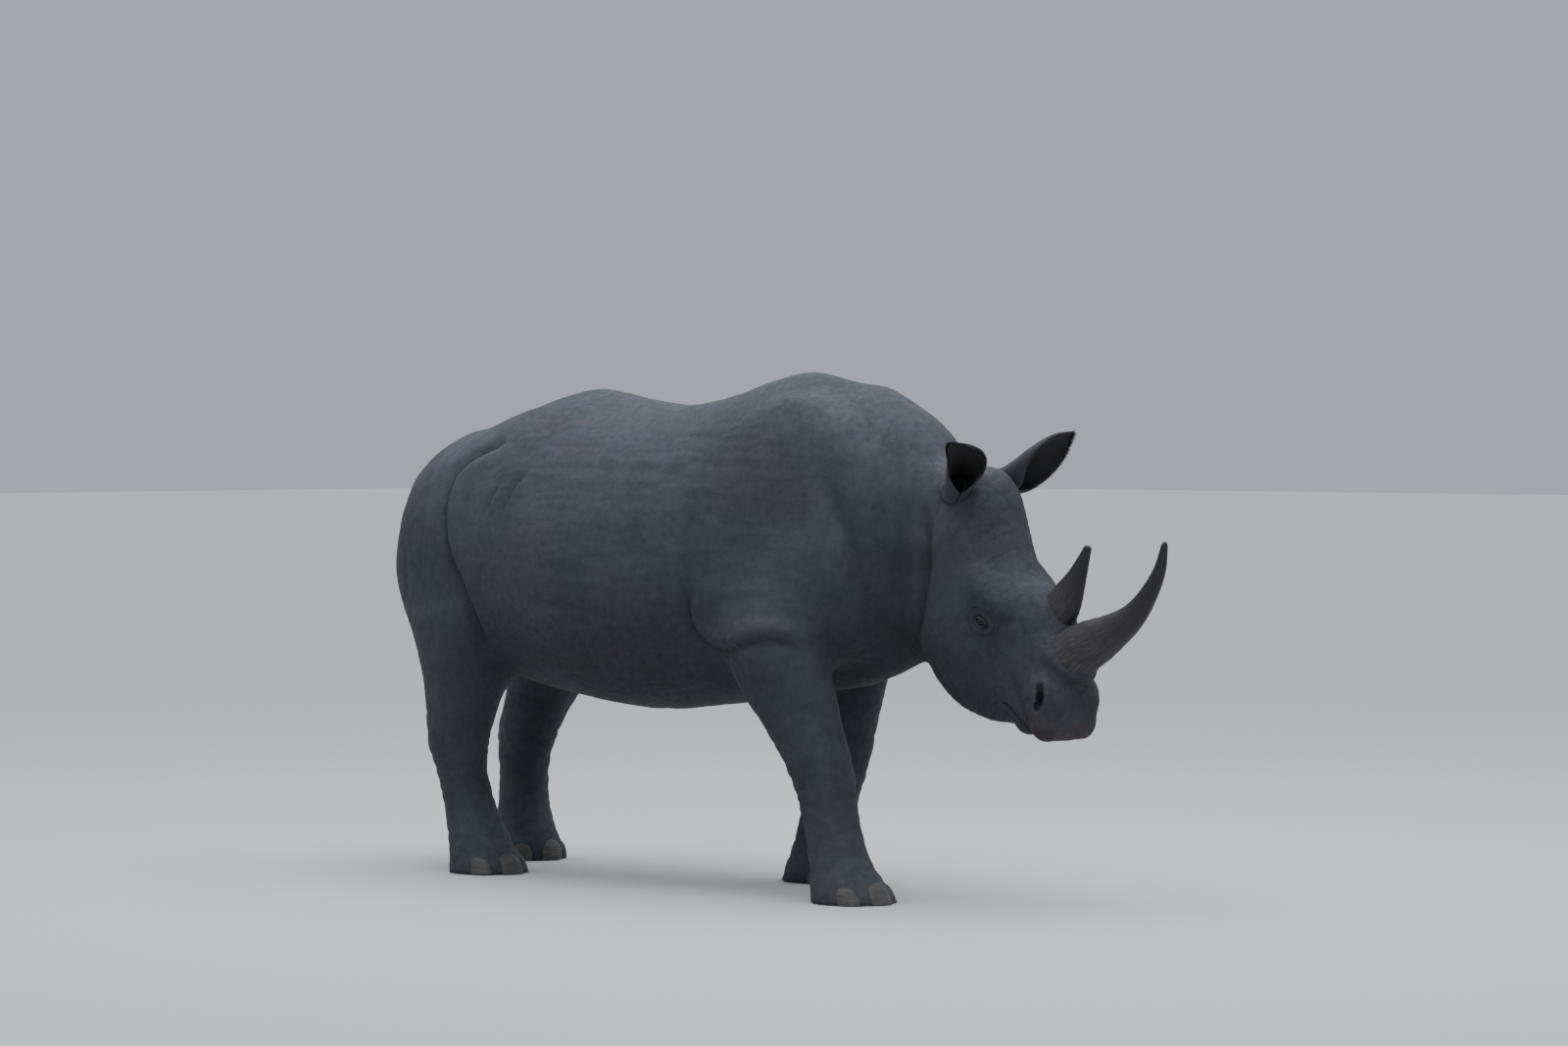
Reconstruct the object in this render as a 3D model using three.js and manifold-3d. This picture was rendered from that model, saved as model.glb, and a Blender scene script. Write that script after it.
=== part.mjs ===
// White rhinoceros, life size, as a still model: walking with its head lowered.
// Millimetres. +X is forward, +Y is the animal's left, +Z is up, the soles are at z = 0.
//
// The body is one smooth solid field: closed curves give the trunk and neck (cut across x), the
// head (cut across its own axis) and the legs (cut across z), and ellipsoids add the masses of
// muscle. Each named piece is a net drawn over that field, parted from its neighbours by planes.
import * as THREE from "three";
import { mergeVertices } from "three/addons/utils/BufferGeometryUtils.js";
import Module from "manifold-3d";

const wasm = await Module();
wasm.setup();

// ---------------------------------------------------------------- driving sizes

const GAP = 0.4; // clearance between two pieces that touch
const MID_LENGTH_X = 435; // x of the origin, about the middle of the whole length
const FLOOR_CUT = 30; // how far a leg's field runs on below the sole
const LEAST_SLOPE = 0.6; // least slope of a section's field, over one part in its half size
const TINY = 1e-9; // keeps roots and divisions off zero
const MERGE_WITHIN = 1e-4; // corners nearer than this are one
const SETTLING = { passes: 3, probe: 1, flattest: 0.05 }; // how a net's vertex finds the surface

// The nets that are drawn over the field: the box that each one fills, and its step along x, y, z.
const NET = {
  trunk: { low: [-1420, -644, 480], high: [1334, 644, 1902], step: [107, 107, 107] },
  neck: { low: [900, -418, 600], high: [1500, 418, 1850], step: [84, 84, 84] },
  head: { low: [1130, -237, 450], high: [2000, 237, 1620], step: [51, 51, 51] },
  leg: { rear: -1400, outer: 620, top: 1120, inwards: 80, margin: 40, step: [57, 57, 90] },
};

// Trunk and neck: each list runs along x from the rump to the back of the head.
const BACK_LINE = [
  [-1300, 1390], [-1100, 1540], [-880, 1630], [-650, 1698], [-430, 1746], [-180, 1710],
  [50, 1688], [300, 1722], [500, 1780], [650, 1800], [850, 1763], [1000, 1740],
  [1150, 1668], [1220, 1622], [1280, 1558], [1400, 1385], [1500, 1300],
];
const BELLY_LINE = [
  [-1300, 900], [-1050, 800], [-650, 680], [-180, 612], [50, 612], [500, 665],
  [850, 712], [1000, 750], [1150, 805], [1280, 850], [1500, 960],
];
const HALF_WIDTH = [
  [-1300, 250], [-1050, 325], [-650, 450], [-180, 522], [50, 512], [300, 462],
  [650, 350], [850, 305], [1000, 278], [1150, 240], [1500, 165],
];
const WIDEST_LEVEL = [
  [-1300, 1200], [-880, 1170], [-180, 1065], [300, 1080], [650, 1150], [1000, 1200], [1500, 1230],
];
const UPPER_FULLNESS = [[-1300, 2], [-430, 1.75], [50, 1.9], [650, 1.65], [1150, 1.8], [1500, 2]];
const LOWER_FULLNESS = [[-1300, 2], [0, 2.2], [850, 2.1], [1150, 1.65], [1500, 1.6]];
const TRUNK_ENDS = { rear: -1080, front: 1420, blend: 80 };

// The head has its own frame: u runs down the face from the poll, v stands up from the face.
const POLL = new THREE.Vector3(1335, 0, 1455);
const FACE_PITCH = 50; // degrees below level
const HEAD_TOP = [
  [-120, -20], [0, 50], [60, 105], [115, 126], [200, 110], [320, 46], [430, 12], [530, 36],
  [640, 46], [720, 28], [800, 0], [860, -42], [920, -92], [980, -150],
];
const HEAD_BOTTOM = [
  [-120, -300], [0, -350], [200, -450], [350, -500], [470, -514], [560, -506],
  [650, -476], [740, -413], [800, -350], [860, -294], [920, -246], [980, -219],
];
const HEAD_HALF_WIDTH = [
  [-120, 125], [0, 148], [200, 164], [400, 176], [470, 178], [560, 162],
  [640, 144], [720, 132], [800, 126], [860, 130], [980, 126],
];
const HEAD_LEVEL = [
  [-120, -120], [0, -110], [300, -130], [540, -140], [720, -160], [860, -178], [980, -195],
];
const HEAD_UPPER_FULLNESS = [[-120, 2], [0, 2.3], [200, 2.6], [450, 2.4], [600, 2.15], [980, 2.5]];
const HEAD_LOWER_FULLNESS = [[-120, 2], [200, 1.9], [450, 2], [700, 2.2], [860, 2.5], [980, 2.6]];
const HEAD_ENDS = { rear: -60, front: 925, blend: 70 };

// Legs: lists run up z from below the sole: middle x, distance from the centre plane, half
// depth fore and aft, half width.
const FORELEG = {
  x: [
    [-40, 704], [40, 700], [100, 692], [180, 682], [300, 684], [430, 688], [560, 662],
    [700, 628], [840, 612], [950, 640], [1100, 720], [1250, 780], [1380, 800],
  ],
  y: [
    [-40, 290], [180, 292], [430, 298], [700, 315], [840, 320], [950, 306], [1100, 260],
    [1250, 190], [1380, 120],
  ],
  depth: [
    [-40, 146], [40, 142], [100, 124], [180, 106], [300, 104], [430, 123], [560, 146],
    [700, 190], [840, 215], [950, 228], [1100, 205], [1250, 150], [1380, 60],
  ],
  width: [
    [-40, 138], [40, 133], [100, 116], [180, 99], [300, 96], [430, 106], [560, 112],
    [700, 122], [840, 132], [950, 135], [1100, 118], [1250, 90], [1380, 40],
  ],
  top: 1380,
  pivot: 1400, // height about which the leg swings
  swing: { right: 400, left: -300 }, // forward reach of the sole
};
const HINDLEG = {
  x: [
    [-40, -985], [40, -988], [110, -1000], [200, -1020], [340, -1036], [470, -1032],
    [580, -990], [700, -935], [820, -898], [950, -890], [1120, -905], [1420, -900],
  ],
  y: [
    [-40, 272], [200, 275], [470, 282], [700, 290], [820, 288], [950, 274], [1120, 236],
    [1280, 180], [1420, 110],
  ],
  depth: [
    [-40, 144], [40, 140], [110, 122], [200, 101], [340, 100], [470, 126], [580, 148],
    [700, 184], [820, 230], [950, 280], [1120, 280], [1280, 210], [1420, 70],
  ],
  width: [
    [-40, 136], [40, 130], [110, 113], [200, 96], [340, 92], [470, 100], [580, 111],
    [700, 131], [820, 150], [950, 162], [1120, 150], [1280, 110], [1420, 50],
  ],
  top: 1420,
  pivot: 1250,
  swing: { right: 260, left: -110 },
};
const LEG_BLEND = 55;
const LEG_TOP_BLEND = 40;
const HEAD_BLEND = 60;

// Masses of muscle: middle, radii, nose-down tilt in degrees, width of the blend. The paired
// ones are mirrored; "walk" shifts a pair with the stride, right side forward, left side back.
const RUMP = { at: [-1000, 0, 1195], radii: [298, 318, 392], tilt: 0, blend: 60 };
const WALK = { right: 35, left: -15 };
const BODY_MASSES = [
  { name: "haunch", at: [-880, 195, 1160], radii: [300, 205, 360], tilt: 0, blend: 110 },
  { name: "buttock", at: [-1040, 150, 1060], radii: [200, 165, 290], tilt: 0, blend: 90 },
  {
    name: "shoulder blade", at: [760, 185, 1300], radii: [330, 150, 400], tilt: -12, blend: 150,
    walk: true,
  },
  { name: "upper arm", at: [860, 235, 1030], radii: [220, 140, 210], tilt: 25, blend: 120, walk: true },
  { name: "elbow", at: [590, 280, 965], radii: [195, 125, 175], tilt: 0, blend: 100, walk: true },
];
const HEAD_MASSES = [
  { name: "cheek", at: [410, 102, -275], radii: [215, 84, 150], blend: 70 },
  { name: "brow", at: [465, 138, -68], radii: [92, 44, 44], blend: 50 },
  { name: "nostril wing", at: [868, 84, -118], radii: [74, 50, 56], blend: 45 },
];
const HORN_BOSSES = [
  { name: "front boss", at: [784, 0, -16], radii: [108, 100, 36], blend: 50 },
  { name: "rear boss", at: [612, 0, 24], radii: [98, 76, 32], blend: 45 },
];
const LIPS = [
  { name: "upper lip", u: 936, v: -188, halfWidth: 82, radius: 52, blend: 50 },
  { name: "lower lip", u: 868, v: -258, halfWidth: 62, radius: 38, blend: 34 },
];

// Horns: the middle line in the head's u, v, with the half size fore and aft and sideways.
const FRONT_HORN = {
  line: [[782, -30], [791, 40], [812, 110], [830, 175], [846, 263], [841, 350], [806, 464], [746, 550]],
  radii: [[92, 94], [84, 81], [76, 69], [63, 58], [48, 45], [35, 35], [22, 22], [7, 7]],
  rings: 11,
  sides: 12,
};
const REAR_HORN = {
  line: [[634, 5], [629, 60], [614, 118], [590, 187], [547, 284]],
  radii: [[74, 58], [67, 50], [55, 40], [34, 27], [8, 7]],
  rings: 6,
  sides: 11,
};

// Ears: a root in the head's u, s, v, a direction and length from root to tip, and the way
// that the opening faces. bow: how far the middle line bends off half way out; skew: how much
// more of that bend lies towards the root; half: half width of the blade, which is drawn out on
// the ear that turns forward. hollow: depth of the cup behind the blade.
const EARS = {
  ear_right: {
    root: [90, -140, 48],
    reach: [119, -158, 144],
    opening: [0.75, -0.75, -0.5],
    bow: [60, 6, 0],
    skew: -0.5,
    half: [[0, 38], [0.12, 37], [0.23, 45], [0.38, 58], [0.58, 62], [0.78, 53], [0.92, 30], [1, 8]],
  },
  ear_left: {
    root: [45, 148, 30],
    reach: [192, 154, 154],
    opening: [1, 0.12, -0.5],
    bow: [30, 0, -20],
    skew: 0.75,
    half: [
      [0, 50], [0.12, 49], [0.25, 63], [0.42, 81], [0.58, 84], [0.72, 73], [0.83, 51], [0.92, 29],
      [1, 8],
    ],
  },
};
const EAR_SHAPE = {
  hollow: [[0, 38], [0.12, 43], [0.25, 47], [0.42, 48], [0.6, 38], [0.8, 22], [0.92, 12], [1, 4]],
  wrap: [[0, 152], [0.16, 150], [0.28, 138], [0.4, 116], [0.7, 96], [1, 86]], // half the cup, degrees
  thickness: 11,
  setBack: 0.6, // share of the thickness that the outside stands behind the cup
  overhang: 0.3, // share of the thickness that the outside runs on past the tip
  sunk: 0.12, // share of the length that starts inside the head
  rows: 6,
  columns: 8,
};

const EYE = { at: [530, 160, -135], radius: 21, clearance: 0.5, sides: 8, rows: 6 };

// Toenails: three on each foot, at these angles from straight ahead.
const TOES = { inner: -52, middle: 0, outer: 52 };
const NAIL = {
  height: 34,
  thickness: 20,
  halfWidth: 45,
  halfHeight: 46,
  lean: 16, // degrees back from upright
  lowest: 3,
  set: 0.93, // share of the foot's radius at which its middle sits
  sides: 7,
  rows: 5,
};

const TAIL = {
  line: [
    [-1195, 1425], [-1262, 1400], [-1318, 1330], [-1345, 1230], [-1352, 1120], [-1350, 1000],
    [-1346, 940],
  ],
  radii: [[52, 56], [46, 50], [38, 40], [30, 31], [25, 25], [21, 20], [16, 13]],
  rings: 8,
  sides: 9,
};
const TUFT = {
  line: [[-1350, 985], [-1346, 930], [-1342, 870], [-1338, 805], [-1335, 745]],
  radii: [[26, 15], [37, 19], [42, 22], [34, 17], [6, 5]],
  rings: 6,
  sides: 8,
};

// Where the pieces part: the planes across the neck are given by their x at two heights, and
// each leg's region by its reach along x, its inner side and its sloping top.
const PART_LOW = 300;
const PART_HIGH = 2000;
const TRUNK_NECK = { low: 1145, high: 1002 };
const NECK_HEAD = { low: 1185, high: 1355 };
const REGION = { rear: -1700, front: 2400, side: 900 };
const FORE_CUT = { reach: 265, rear: 400, front: 1200, inner: 90, outer: 700, innerTop: 655, slope: 0.62 };
const HIND_CUT = { reach: 265, rear: -1500, front: -520, inner: 60, outer: 700, innerTop: 640, slope: 0.72 };

// ---------------------------------------------------------------- finishes

const SKIN = new THREE.MeshStandardMaterial({ name: "skin", color: 0x5b5f66, roughness: 0.85 });
const EAR_SKIN = new THREE.MeshStandardMaterial({ name: "ear_skin", color: 0x4a474d, roughness: 0.9 });
const HAIR = new THREE.MeshStandardMaterial({ name: "hair", color: 0x1e1b1a, roughness: 0.8 });
const HORN = new THREE.MeshStandardMaterial({ name: "horn", color: 0x35312f, roughness: 0.6 });
const NAIL_HORN = new THREE.MeshStandardMaterial({ name: "toenail", color: 0x4b4641, roughness: 0.65 });
const EYE_GLOSS = new THREE.MeshStandardMaterial({ name: "eye", color: 0x120c09, roughness: 0.15 });

// ---------------------------------------------------------------- curves and blends

// A smooth curve through [station, value] pairs, held level beyond both ends.
function curve(points) {
  const count = points.length;
  const slopes = points.map((_, i) => {
    const before = points[Math.max(i - 1, 0)];
    const after = points[Math.min(i + 1, count - 1)];
    return (after[1] - before[1]) / (after[0] - before[0]);
  });
  return (station) => {
    const x = Math.min(Math.max(station, points[0][0]), points[count - 1][0]);
    let i = 0;
    while (i < count - 2 && x > points[i + 1][0]) i += 1;
    const span = points[i + 1][0] - points[i][0];
    const t = (x - points[i][0]) / span;
    const s = 1 - t;
    return (
      points[i][1] * s * s * (1 + 2 * t) +
      slopes[i] * span * t * s * s +
      points[i + 1][1] * t * t * (1 + 2 * s) -
      slopes[i + 1] * span * t * t * s
    );
  };
}

// The lesser of two distances, rounded where they meet over a width k; greater is its opposite.
function lesser(a, b, k) {
  const h = Math.max(k - Math.abs(a - b), 0) / k;
  return Math.min(a, b) - (h * h * k) / 4;
}
const greater = (a, b, k) => -lesser(-a, -b, k);

// ---------------------------------------------------------------- distance fields

// Distance to a closed section: a superellipse whose upper and lower halves differ.
function sectionDistance(across, up, shape) {
  const over = up > shape.level;
  const height = over ? shape.top - shape.level : shape.level - shape.bottom;
  const power = over ? shape.upper : shape.lower;
  const a = Math.abs(across) / shape.half;
  const b = Math.abs(up - shape.level) / height;
  const k = Math.pow(Math.pow(a, power) + Math.pow(b, power) + TINY, 1 / power);
  const slope = Math.hypot(Math.pow(a / k, power - 1) / shape.half, Math.pow(b / k, power - 1) / height);
  return (k - 1) / Math.max(slope, LEAST_SLOPE / Math.max(shape.half, height));
}

// A solid of such sections, given by six curves along one axis.
function loft(top, bottom, half, level, upper, lower) {
  const curves = [top, bottom, half, level, upper, lower].map(curve);
  return (station, across, up) => {
    const [t, b, h, l, nu, nl] = curves.map((f) => f(station));
    return sectionDistance(across, up, { top: t, bottom: b, half: h, level: l, upper: nu, lower: nl });
  };
}

// Distance to an ellipsoid with its long axis tilted nose down by the given degrees.
function ellipsoid(middle, radii, tilt) {
  const cos = Math.cos(THREE.MathUtils.degToRad(tilt));
  const sin = Math.sin(THREE.MathUtils.degToRad(tilt));
  const [rx, ry, rz] = radii;
  return (x, y, z) => {
    const dx = x - middle[0];
    const dz = z - middle[2];
    const a = (dx * cos - dz * sin) / rx;
    const b = (y - middle[1]) / ry;
    const c = (dx * sin + dz * cos) / rz;
    const k = Math.hypot(a, b, c);
    return (k * (k - 1)) / Math.max(Math.hypot(a / rx, b / ry, c / rz), TINY);
  };
}

// Distance to a round bar that lies across the head.
function crossBar(middle, halfWidth, radius) {
  return (x, y, z) => {
    const past = Math.max(Math.abs(y) - halfWidth, 0);
    return Math.hypot(x - middle.x, past, z - middle.z) - radius;
  };
}

const PITCH = THREE.MathUtils.degToRad(FACE_PITCH);
const DOWN_FACE = new THREE.Vector3(Math.cos(PITCH), 0, -Math.sin(PITCH));
const OFF_FACE = new THREE.Vector3(Math.sin(PITCH), 0, Math.cos(PITCH));

// A point of the head's frame in the body's.
function headPoint(u, s, v) {
  return new THREE.Vector3(0, s, 0).add(POLL).addScaledVector(DOWN_FACE, u).addScaledVector(OFF_FACE, v);
}

function headEllipsoid(mass, side) {
  const middle = headPoint(mass.at[0], mass.at[1] * side, mass.at[2]).toArray();
  return { field: ellipsoid(middle, mass.radii, FACE_PITCH), blend: mass.blend };
}

const trunkLoft = loft(BACK_LINE, BELLY_LINE, HALF_WIDTH, WIDEST_LEVEL, UPPER_FULLNESS, LOWER_FULLNESS);
const headLoft = loft(
  HEAD_TOP, HEAD_BOTTOM, HEAD_HALF_WIDTH, HEAD_LEVEL, HEAD_UPPER_FULLNESS, HEAD_LOWER_FULLNESS,
);

function trunkDistance(x, y, z) {
  const ends = Math.max(x - TRUNK_ENDS.front, TRUNK_ENDS.rear - x);
  return greater(trunkLoft(x, y, z), ends, TRUNK_ENDS.blend);
}

const headParts = [
  ...HEAD_MASSES.flatMap((mass) => [headEllipsoid(mass, 1), headEllipsoid(mass, -1)]),
  ...LIPS.map((lip) => ({
    field: crossBar(headPoint(lip.u, 0, lip.v), lip.halfWidth, lip.radius),
    blend: lip.blend,
  })),
  ...HORN_BOSSES.map((mass) => headEllipsoid(mass, 1)),
];

function headDistance(x, y, z) {
  const dx = x - POLL.x;
  const dz = z - POLL.z;
  const u = dx * DOWN_FACE.x + dz * DOWN_FACE.z;
  const v = dx * OFF_FACE.x + dz * OFF_FACE.z;
  const ends = Math.max(u - HEAD_ENDS.front, HEAD_ENDS.rear - u);
  const skull = greater(headLoft(u, y, v), ends, HEAD_ENDS.blend);
  return headParts.reduce((d, part) => lesser(d, part.field(x, y, z), part.blend), skull);
}

// One leg: where its middle is at a height, and the distance to it.
function makeLeg(shape, side, swing) {
  const [x, y, depth, width] = [shape.x, shape.y, shape.depth, shape.width].map(curve);
  const middle = (z) => ({
    x: x(z) + (swing * (shape.pivot - Math.min(z, shape.pivot))) / shape.pivot,
    y: side * y(z),
    depth: depth(z),
    width: width(z),
  });
  const distance = (px, py, pz) => {
    const at = middle(pz);
    const a = (px - at.x) / at.depth;
    const b = (py - at.y) / at.width;
    const k = Math.sqrt(a * a + b * b + TINY);
    const slope = Math.hypot(a / at.depth, b / at.width) / k;
    const round = (k - 1) / Math.max(slope, LEAST_SLOPE / Math.max(at.depth, at.width));
    return greater(round, pz - shape.top, LEG_TOP_BLEND);
  };
  return { side, middle, distance };
}

const LEGS = {
  leg_fore_right: { ...makeLeg(FORELEG, -1, FORELEG.swing.right), cut: FORE_CUT },
  leg_fore_left: { ...makeLeg(FORELEG, 1, FORELEG.swing.left), cut: FORE_CUT },
  leg_hind_right: { ...makeLeg(HINDLEG, -1, HINDLEG.swing.right), cut: HIND_CUT },
  leg_hind_left: { ...makeLeg(HINDLEG, 1, HINDLEG.swing.left), cut: HIND_CUT },
};

const bodyParts = [{ field: ellipsoid(RUMP.at, RUMP.radii, RUMP.tilt), blend: RUMP.blend }];
for (const side of [-1, 1]) {
  const stride = side < 0 ? WALK.right : WALK.left;
  for (const mass of BODY_MASSES) {
    const middle = [mass.at[0] + (mass.walk ? stride : 0), side * mass.at[1], mass.at[2]];
    bodyParts.push({ field: ellipsoid(middle, mass.radii, mass.tilt), blend: mass.blend });
  }
}

// The whole body: below zero inside, in about millimetres.
function bodyDistance(x, y, z) {
  const trunk = trunkDistance(x, y, z);
  const torso = bodyParts.reduce((d, part) => lesser(d, part.field(x, y, z), part.blend), trunk);
  const legs = Object.values(LEGS).reduce((d, leg) => Math.min(d, leg.distance(x, y, z)), Infinity);
  return lesser(lesser(torso, legs, LEG_BLEND), headDistance(x, y, z), HEAD_BLEND);
}

// ---------------------------------------------------------------- nets over the field

// Moves a point straight onto the surface of the field.
function settle(point) {
  const h = SETTLING.probe;
  for (let pass = 0; pass < SETTLING.passes; pass += 1) {
    const [x, y, z] = point;
    const d = bodyDistance(x, y, z);
    const slope = [
      (bodyDistance(x + h, y, z) - bodyDistance(x - h, y, z)) / (2 * h),
      (bodyDistance(x, y + h, z) - bodyDistance(x, y - h, z)) / (2 * h),
      (bodyDistance(x, y, z + h) - bodyDistance(x, y, z - h)) / (2 * h),
    ];
    const steep = Math.max(slope[0] ** 2 + slope[1] ** 2 + slope[2] ** 2, SETTLING.flattest);
    point.forEach((value, axis) => {
      point[axis] = value - (d * slope[axis]) / steep;
    });
  }
}

// The twelve edges of a grid cell, as pairs of its eight corners (bit 0 = x, 1 = y, 2 = z).
const CELL_EDGES = [];
for (let corner = 0; corner < 8; corner += 1) {
  for (let axis = 0; axis < 3; axis += 1) {
    if (!(corner & (1 << axis))) CELL_EDGES.push([corner, corner | (1 << axis)]);
  }
}

// A closed net of triangles over the body inside a box: one vertex in each grid cell that the
// surface crosses, one pair of triangles across each grid edge that it crosses.
function netOver(low, high, steps) {
  const count = low.map((from, axis) => Math.ceil((high[axis] - from) / steps[axis]) + 1);
  const place = (axis, index) => low[axis] + ((high[axis] - low[axis]) * index) / (count[axis] - 1);
  const flat = (i, j, k) => (i * count[1] + j) * count[2] + k;
  const values = new Float64Array(count[0] * count[1] * count[2]);
  const closed = new Uint8Array(values.length);
  for (let i = 0; i < count[0]; i += 1) {
    for (let j = 0; j < count[1]; j += 1) {
      for (let k = 0; k < count[2]; k += 1) {
        const rim = [i, j, k].some((index, axis) => index === 0 || index === count[axis] - 1);
        const d = bodyDistance(place(0, i), place(1, j), place(2, k));
        values[flat(i, j, k)] = rim ? Math.max(d, 1) : d;
        closed[flat(i, j, k)] = rim && d < 1 ? 1 : 0;
      }
    }
  }
  const vertexOf = new Map();
  const positions = [];
  const addVertex = (i, j, k) => {
    const sum = [0, 0, 0];
    let crossings = 0;
    let onRim = false;
    const cornerIndex = (c) => flat(i + (c & 1), j + ((c >> 1) & 1), k + ((c >> 2) & 1));
    for (const [a, b] of CELL_EDGES) {
      const va = values[cornerIndex(a)];
      const vb = values[cornerIndex(b)];
      if (va < 0 === vb < 0) continue;
      const t = va / (va - vb);
      [i, j, k].forEach((index, axis) => {
        const from = index + ((a >> axis) & 1);
        const to = index + ((b >> axis) & 1);
        sum[axis] += place(axis, from + (to - from) * t);
      });
      crossings += 1;
      onRim = onRim || closed[cornerIndex(a)] || closed[cornerIndex(b)];
    }
    if (!crossings) return;
    const point = sum.map((total) => total / crossings);
    if (!onRim) settle(point);
    vertexOf.set(flat(i, j, k), positions.length / 3);
    positions.push(...point);
  };
  for (let i = 0; i < count[0] - 1; i += 1) {
    for (let j = 0; j < count[1] - 1; j += 1) {
      for (let k = 0; k < count[2] - 1; k += 1) addVertex(i, j, k);
    }
  }
  const triangles = [];
  const apart = (a, b) => {
    const d = [0, 1, 2].map((axis) => positions[3 * a + axis] - positions[3 * b + axis]);
    return Math.hypot(...d);
  };
  const addQuad = (corners, turned) => {
    const [a, b, c, d] = turned ? [...corners].reverse() : corners;
    if (apart(a, c) < apart(b, d)) triangles.push(a, b, c, a, c, d);
    else triangles.push(a, b, d, b, c, d);
  };
  const unit = [[1, 0, 0], [0, 1, 0], [0, 0, 1]];
  for (let i = 0; i < count[0] - 1; i += 1) {
    for (let j = 0; j < count[1] - 1; j += 1) {
      for (let k = 0; k < count[2] - 1; k += 1) {
        for (let axis = 0; axis < 3; axis += 1) {
          const here = values[flat(i, j, k)] < 0;
          const [di, dj, dk] = unit[axis];
          if (here === values[flat(i + di, j + dj, k + dk)] < 0) continue;
          const p = unit[(axis + 1) % 3];
          const q = unit[(axis + 2) % 3];
          const corners = [[0, 0], [1, 0], [1, 1], [0, 1]].map(([m, n]) =>
            vertexOf.get(flat(i - m * p[0] - n * q[0], j - m * p[1] - n * q[1], k - m * p[2] - n * q[2])),
          );
          addQuad(corners, !here);
        }
      }
    }
  }
  return { positions, triangles };
}

// ---------------------------------------------------------------- solids

function solid(positions, triangles) {
  const mesh = new wasm.Mesh({
    numProp: 3,
    vertProperties: new Float32Array(positions),
    triVerts: new Uint32Array(triangles),
  });
  mesh.merge();
  return new wasm.Manifold(mesh);
}

function solidOfGeometry(source) {
  const bare = source.clone();
  bare.deleteAttribute("normal");
  bare.deleteAttribute("uv");
  const merged = mergeVertices(bare, MERGE_WITHIN);
  return solid(merged.attributes.position.array, merged.index.array);
}

function geometryOfSolid(body) {
  const mesh = body.getMesh();
  const geometry = new THREE.BufferGeometry();
  geometry.setAttribute("position", new THREE.BufferAttribute(new Float32Array(mesh.vertProperties), 3));
  geometry.setIndex(new THREE.BufferAttribute(new Uint32Array(mesh.triVerts), 1));
  geometry.computeVertexNormals();
  return geometry;
}

// A solid with six flat sides, from the corners of its low and high faces, each given in turn
// round the face as [x, y, z].
function block(lowFace, highFace) {
  const corners = [...lowFace, ...highFace];
  const sides = [
    [0, 3, 2, 1], [4, 5, 6, 7], [0, 1, 5, 4], [1, 2, 6, 5], [2, 3, 7, 6], [3, 0, 4, 7],
  ];
  return solid(corners.flat(), sides.flatMap(([a, b, c, d]) => [a, b, c, a, c, d]));
}

// The same solid moved a little along a direction.
function nudged(body, direction, distance) {
  const geometry = geometryOfSolid(body);
  const shift = direction.clone().normalize().multiplyScalar(distance);
  geometry.translate(shift.x, shift.y, shift.z);
  return solid(geometry.attributes.position.array, geometry.index.array);
}

// A ring-by-ring solid along a path: each ring is an oval across the path, and a flat fan of
// triangles closes it at both ends.
function ringSolid(path, radii, sides) {
  const positions = [];
  const across = new THREE.Vector3(0, 1, 0);
  path.forEach((point, i) => {
    const ahead = path[Math.min(i + 1, path.length - 1)].clone().sub(path[Math.max(i - 1, 0)]).normalize();
    const upright = new THREE.Vector3().crossVectors(across, ahead).normalize();
    for (let j = 0; j < sides; j += 1) {
      const angle = (2 * Math.PI * j) / sides;
      const rim = point.clone()
        .addScaledVector(upright, radii[i][0] * Math.cos(angle))
        .addScaledVector(across, radii[i][1] * Math.sin(angle));
      positions.push(...rim.toArray());
    }
  });
  const triangles = [];
  for (let i = 0; i < path.length - 1; i += 1) {
    for (let j = 0; j < sides; j += 1) {
      const a = i * sides + j;
      const b = i * sides + ((j + 1) % sides);
      triangles.push(a, b + sides, b, a, a + sides, b + sides);
    }
  }
  const last = (path.length - 1) * sides;
  for (const [first, turned] of [[0, false], [last, true]]) {
    const middle = positions.length / 3;
    positions.push(...path[first ? path.length - 1 : 0].toArray());
    for (let j = 0; j < sides; j += 1) {
      const a = first + j;
      const b = first + ((j + 1) % sides);
      triangles.push(...(turned ? [middle, b, a] : [middle, a, b]));
    }
  }
  const made = solid(positions, triangles);
  return made.volume() > 0 ? made : solid(positions, [...triangles].reverse());
}

// Even steps along a line of [a, b] points with [r1, r2] radii, both as smooth curves.
function evenSteps(line, radii, rings) {
  const lengths = [0];
  for (let i = 1; i < line.length; i += 1) {
    lengths.push(lengths[i - 1] + Math.hypot(line[i][0] - line[i - 1][0], line[i][1] - line[i - 1][1]));
  }
  const along = (pick) => curve(lengths.map((length, i) => [length, pick(i)]));
  const curves = [(i) => line[i][0], (i) => line[i][1], (i) => radii[i][0], (i) => radii[i][1]].map(along);
  return Array.from({ length: rings + 1 }, (_, i) => {
    const [a, b, r1, r2] = curves.map((f) => f((lengths[lengths.length - 1] * i) / rings));
    return { at: [a, b], radii: [r1, r2] };
  });
}

// ---------------------------------------------------------------- regions of the pieces

const partX = (plane, z) => plane.low + ((plane.high - plane.low) * (z - PART_LOW)) / (PART_HIGH - PART_LOW);

// Everything between two heights.
function levels(low, high) {
  const face = (z) => [
    [REGION.rear, -REGION.side, z], [REGION.front, -REGION.side, z],
    [REGION.front, REGION.side, z], [REGION.rear, REGION.side, z],
  ];
  return block(face(low), face(high));
}

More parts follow.
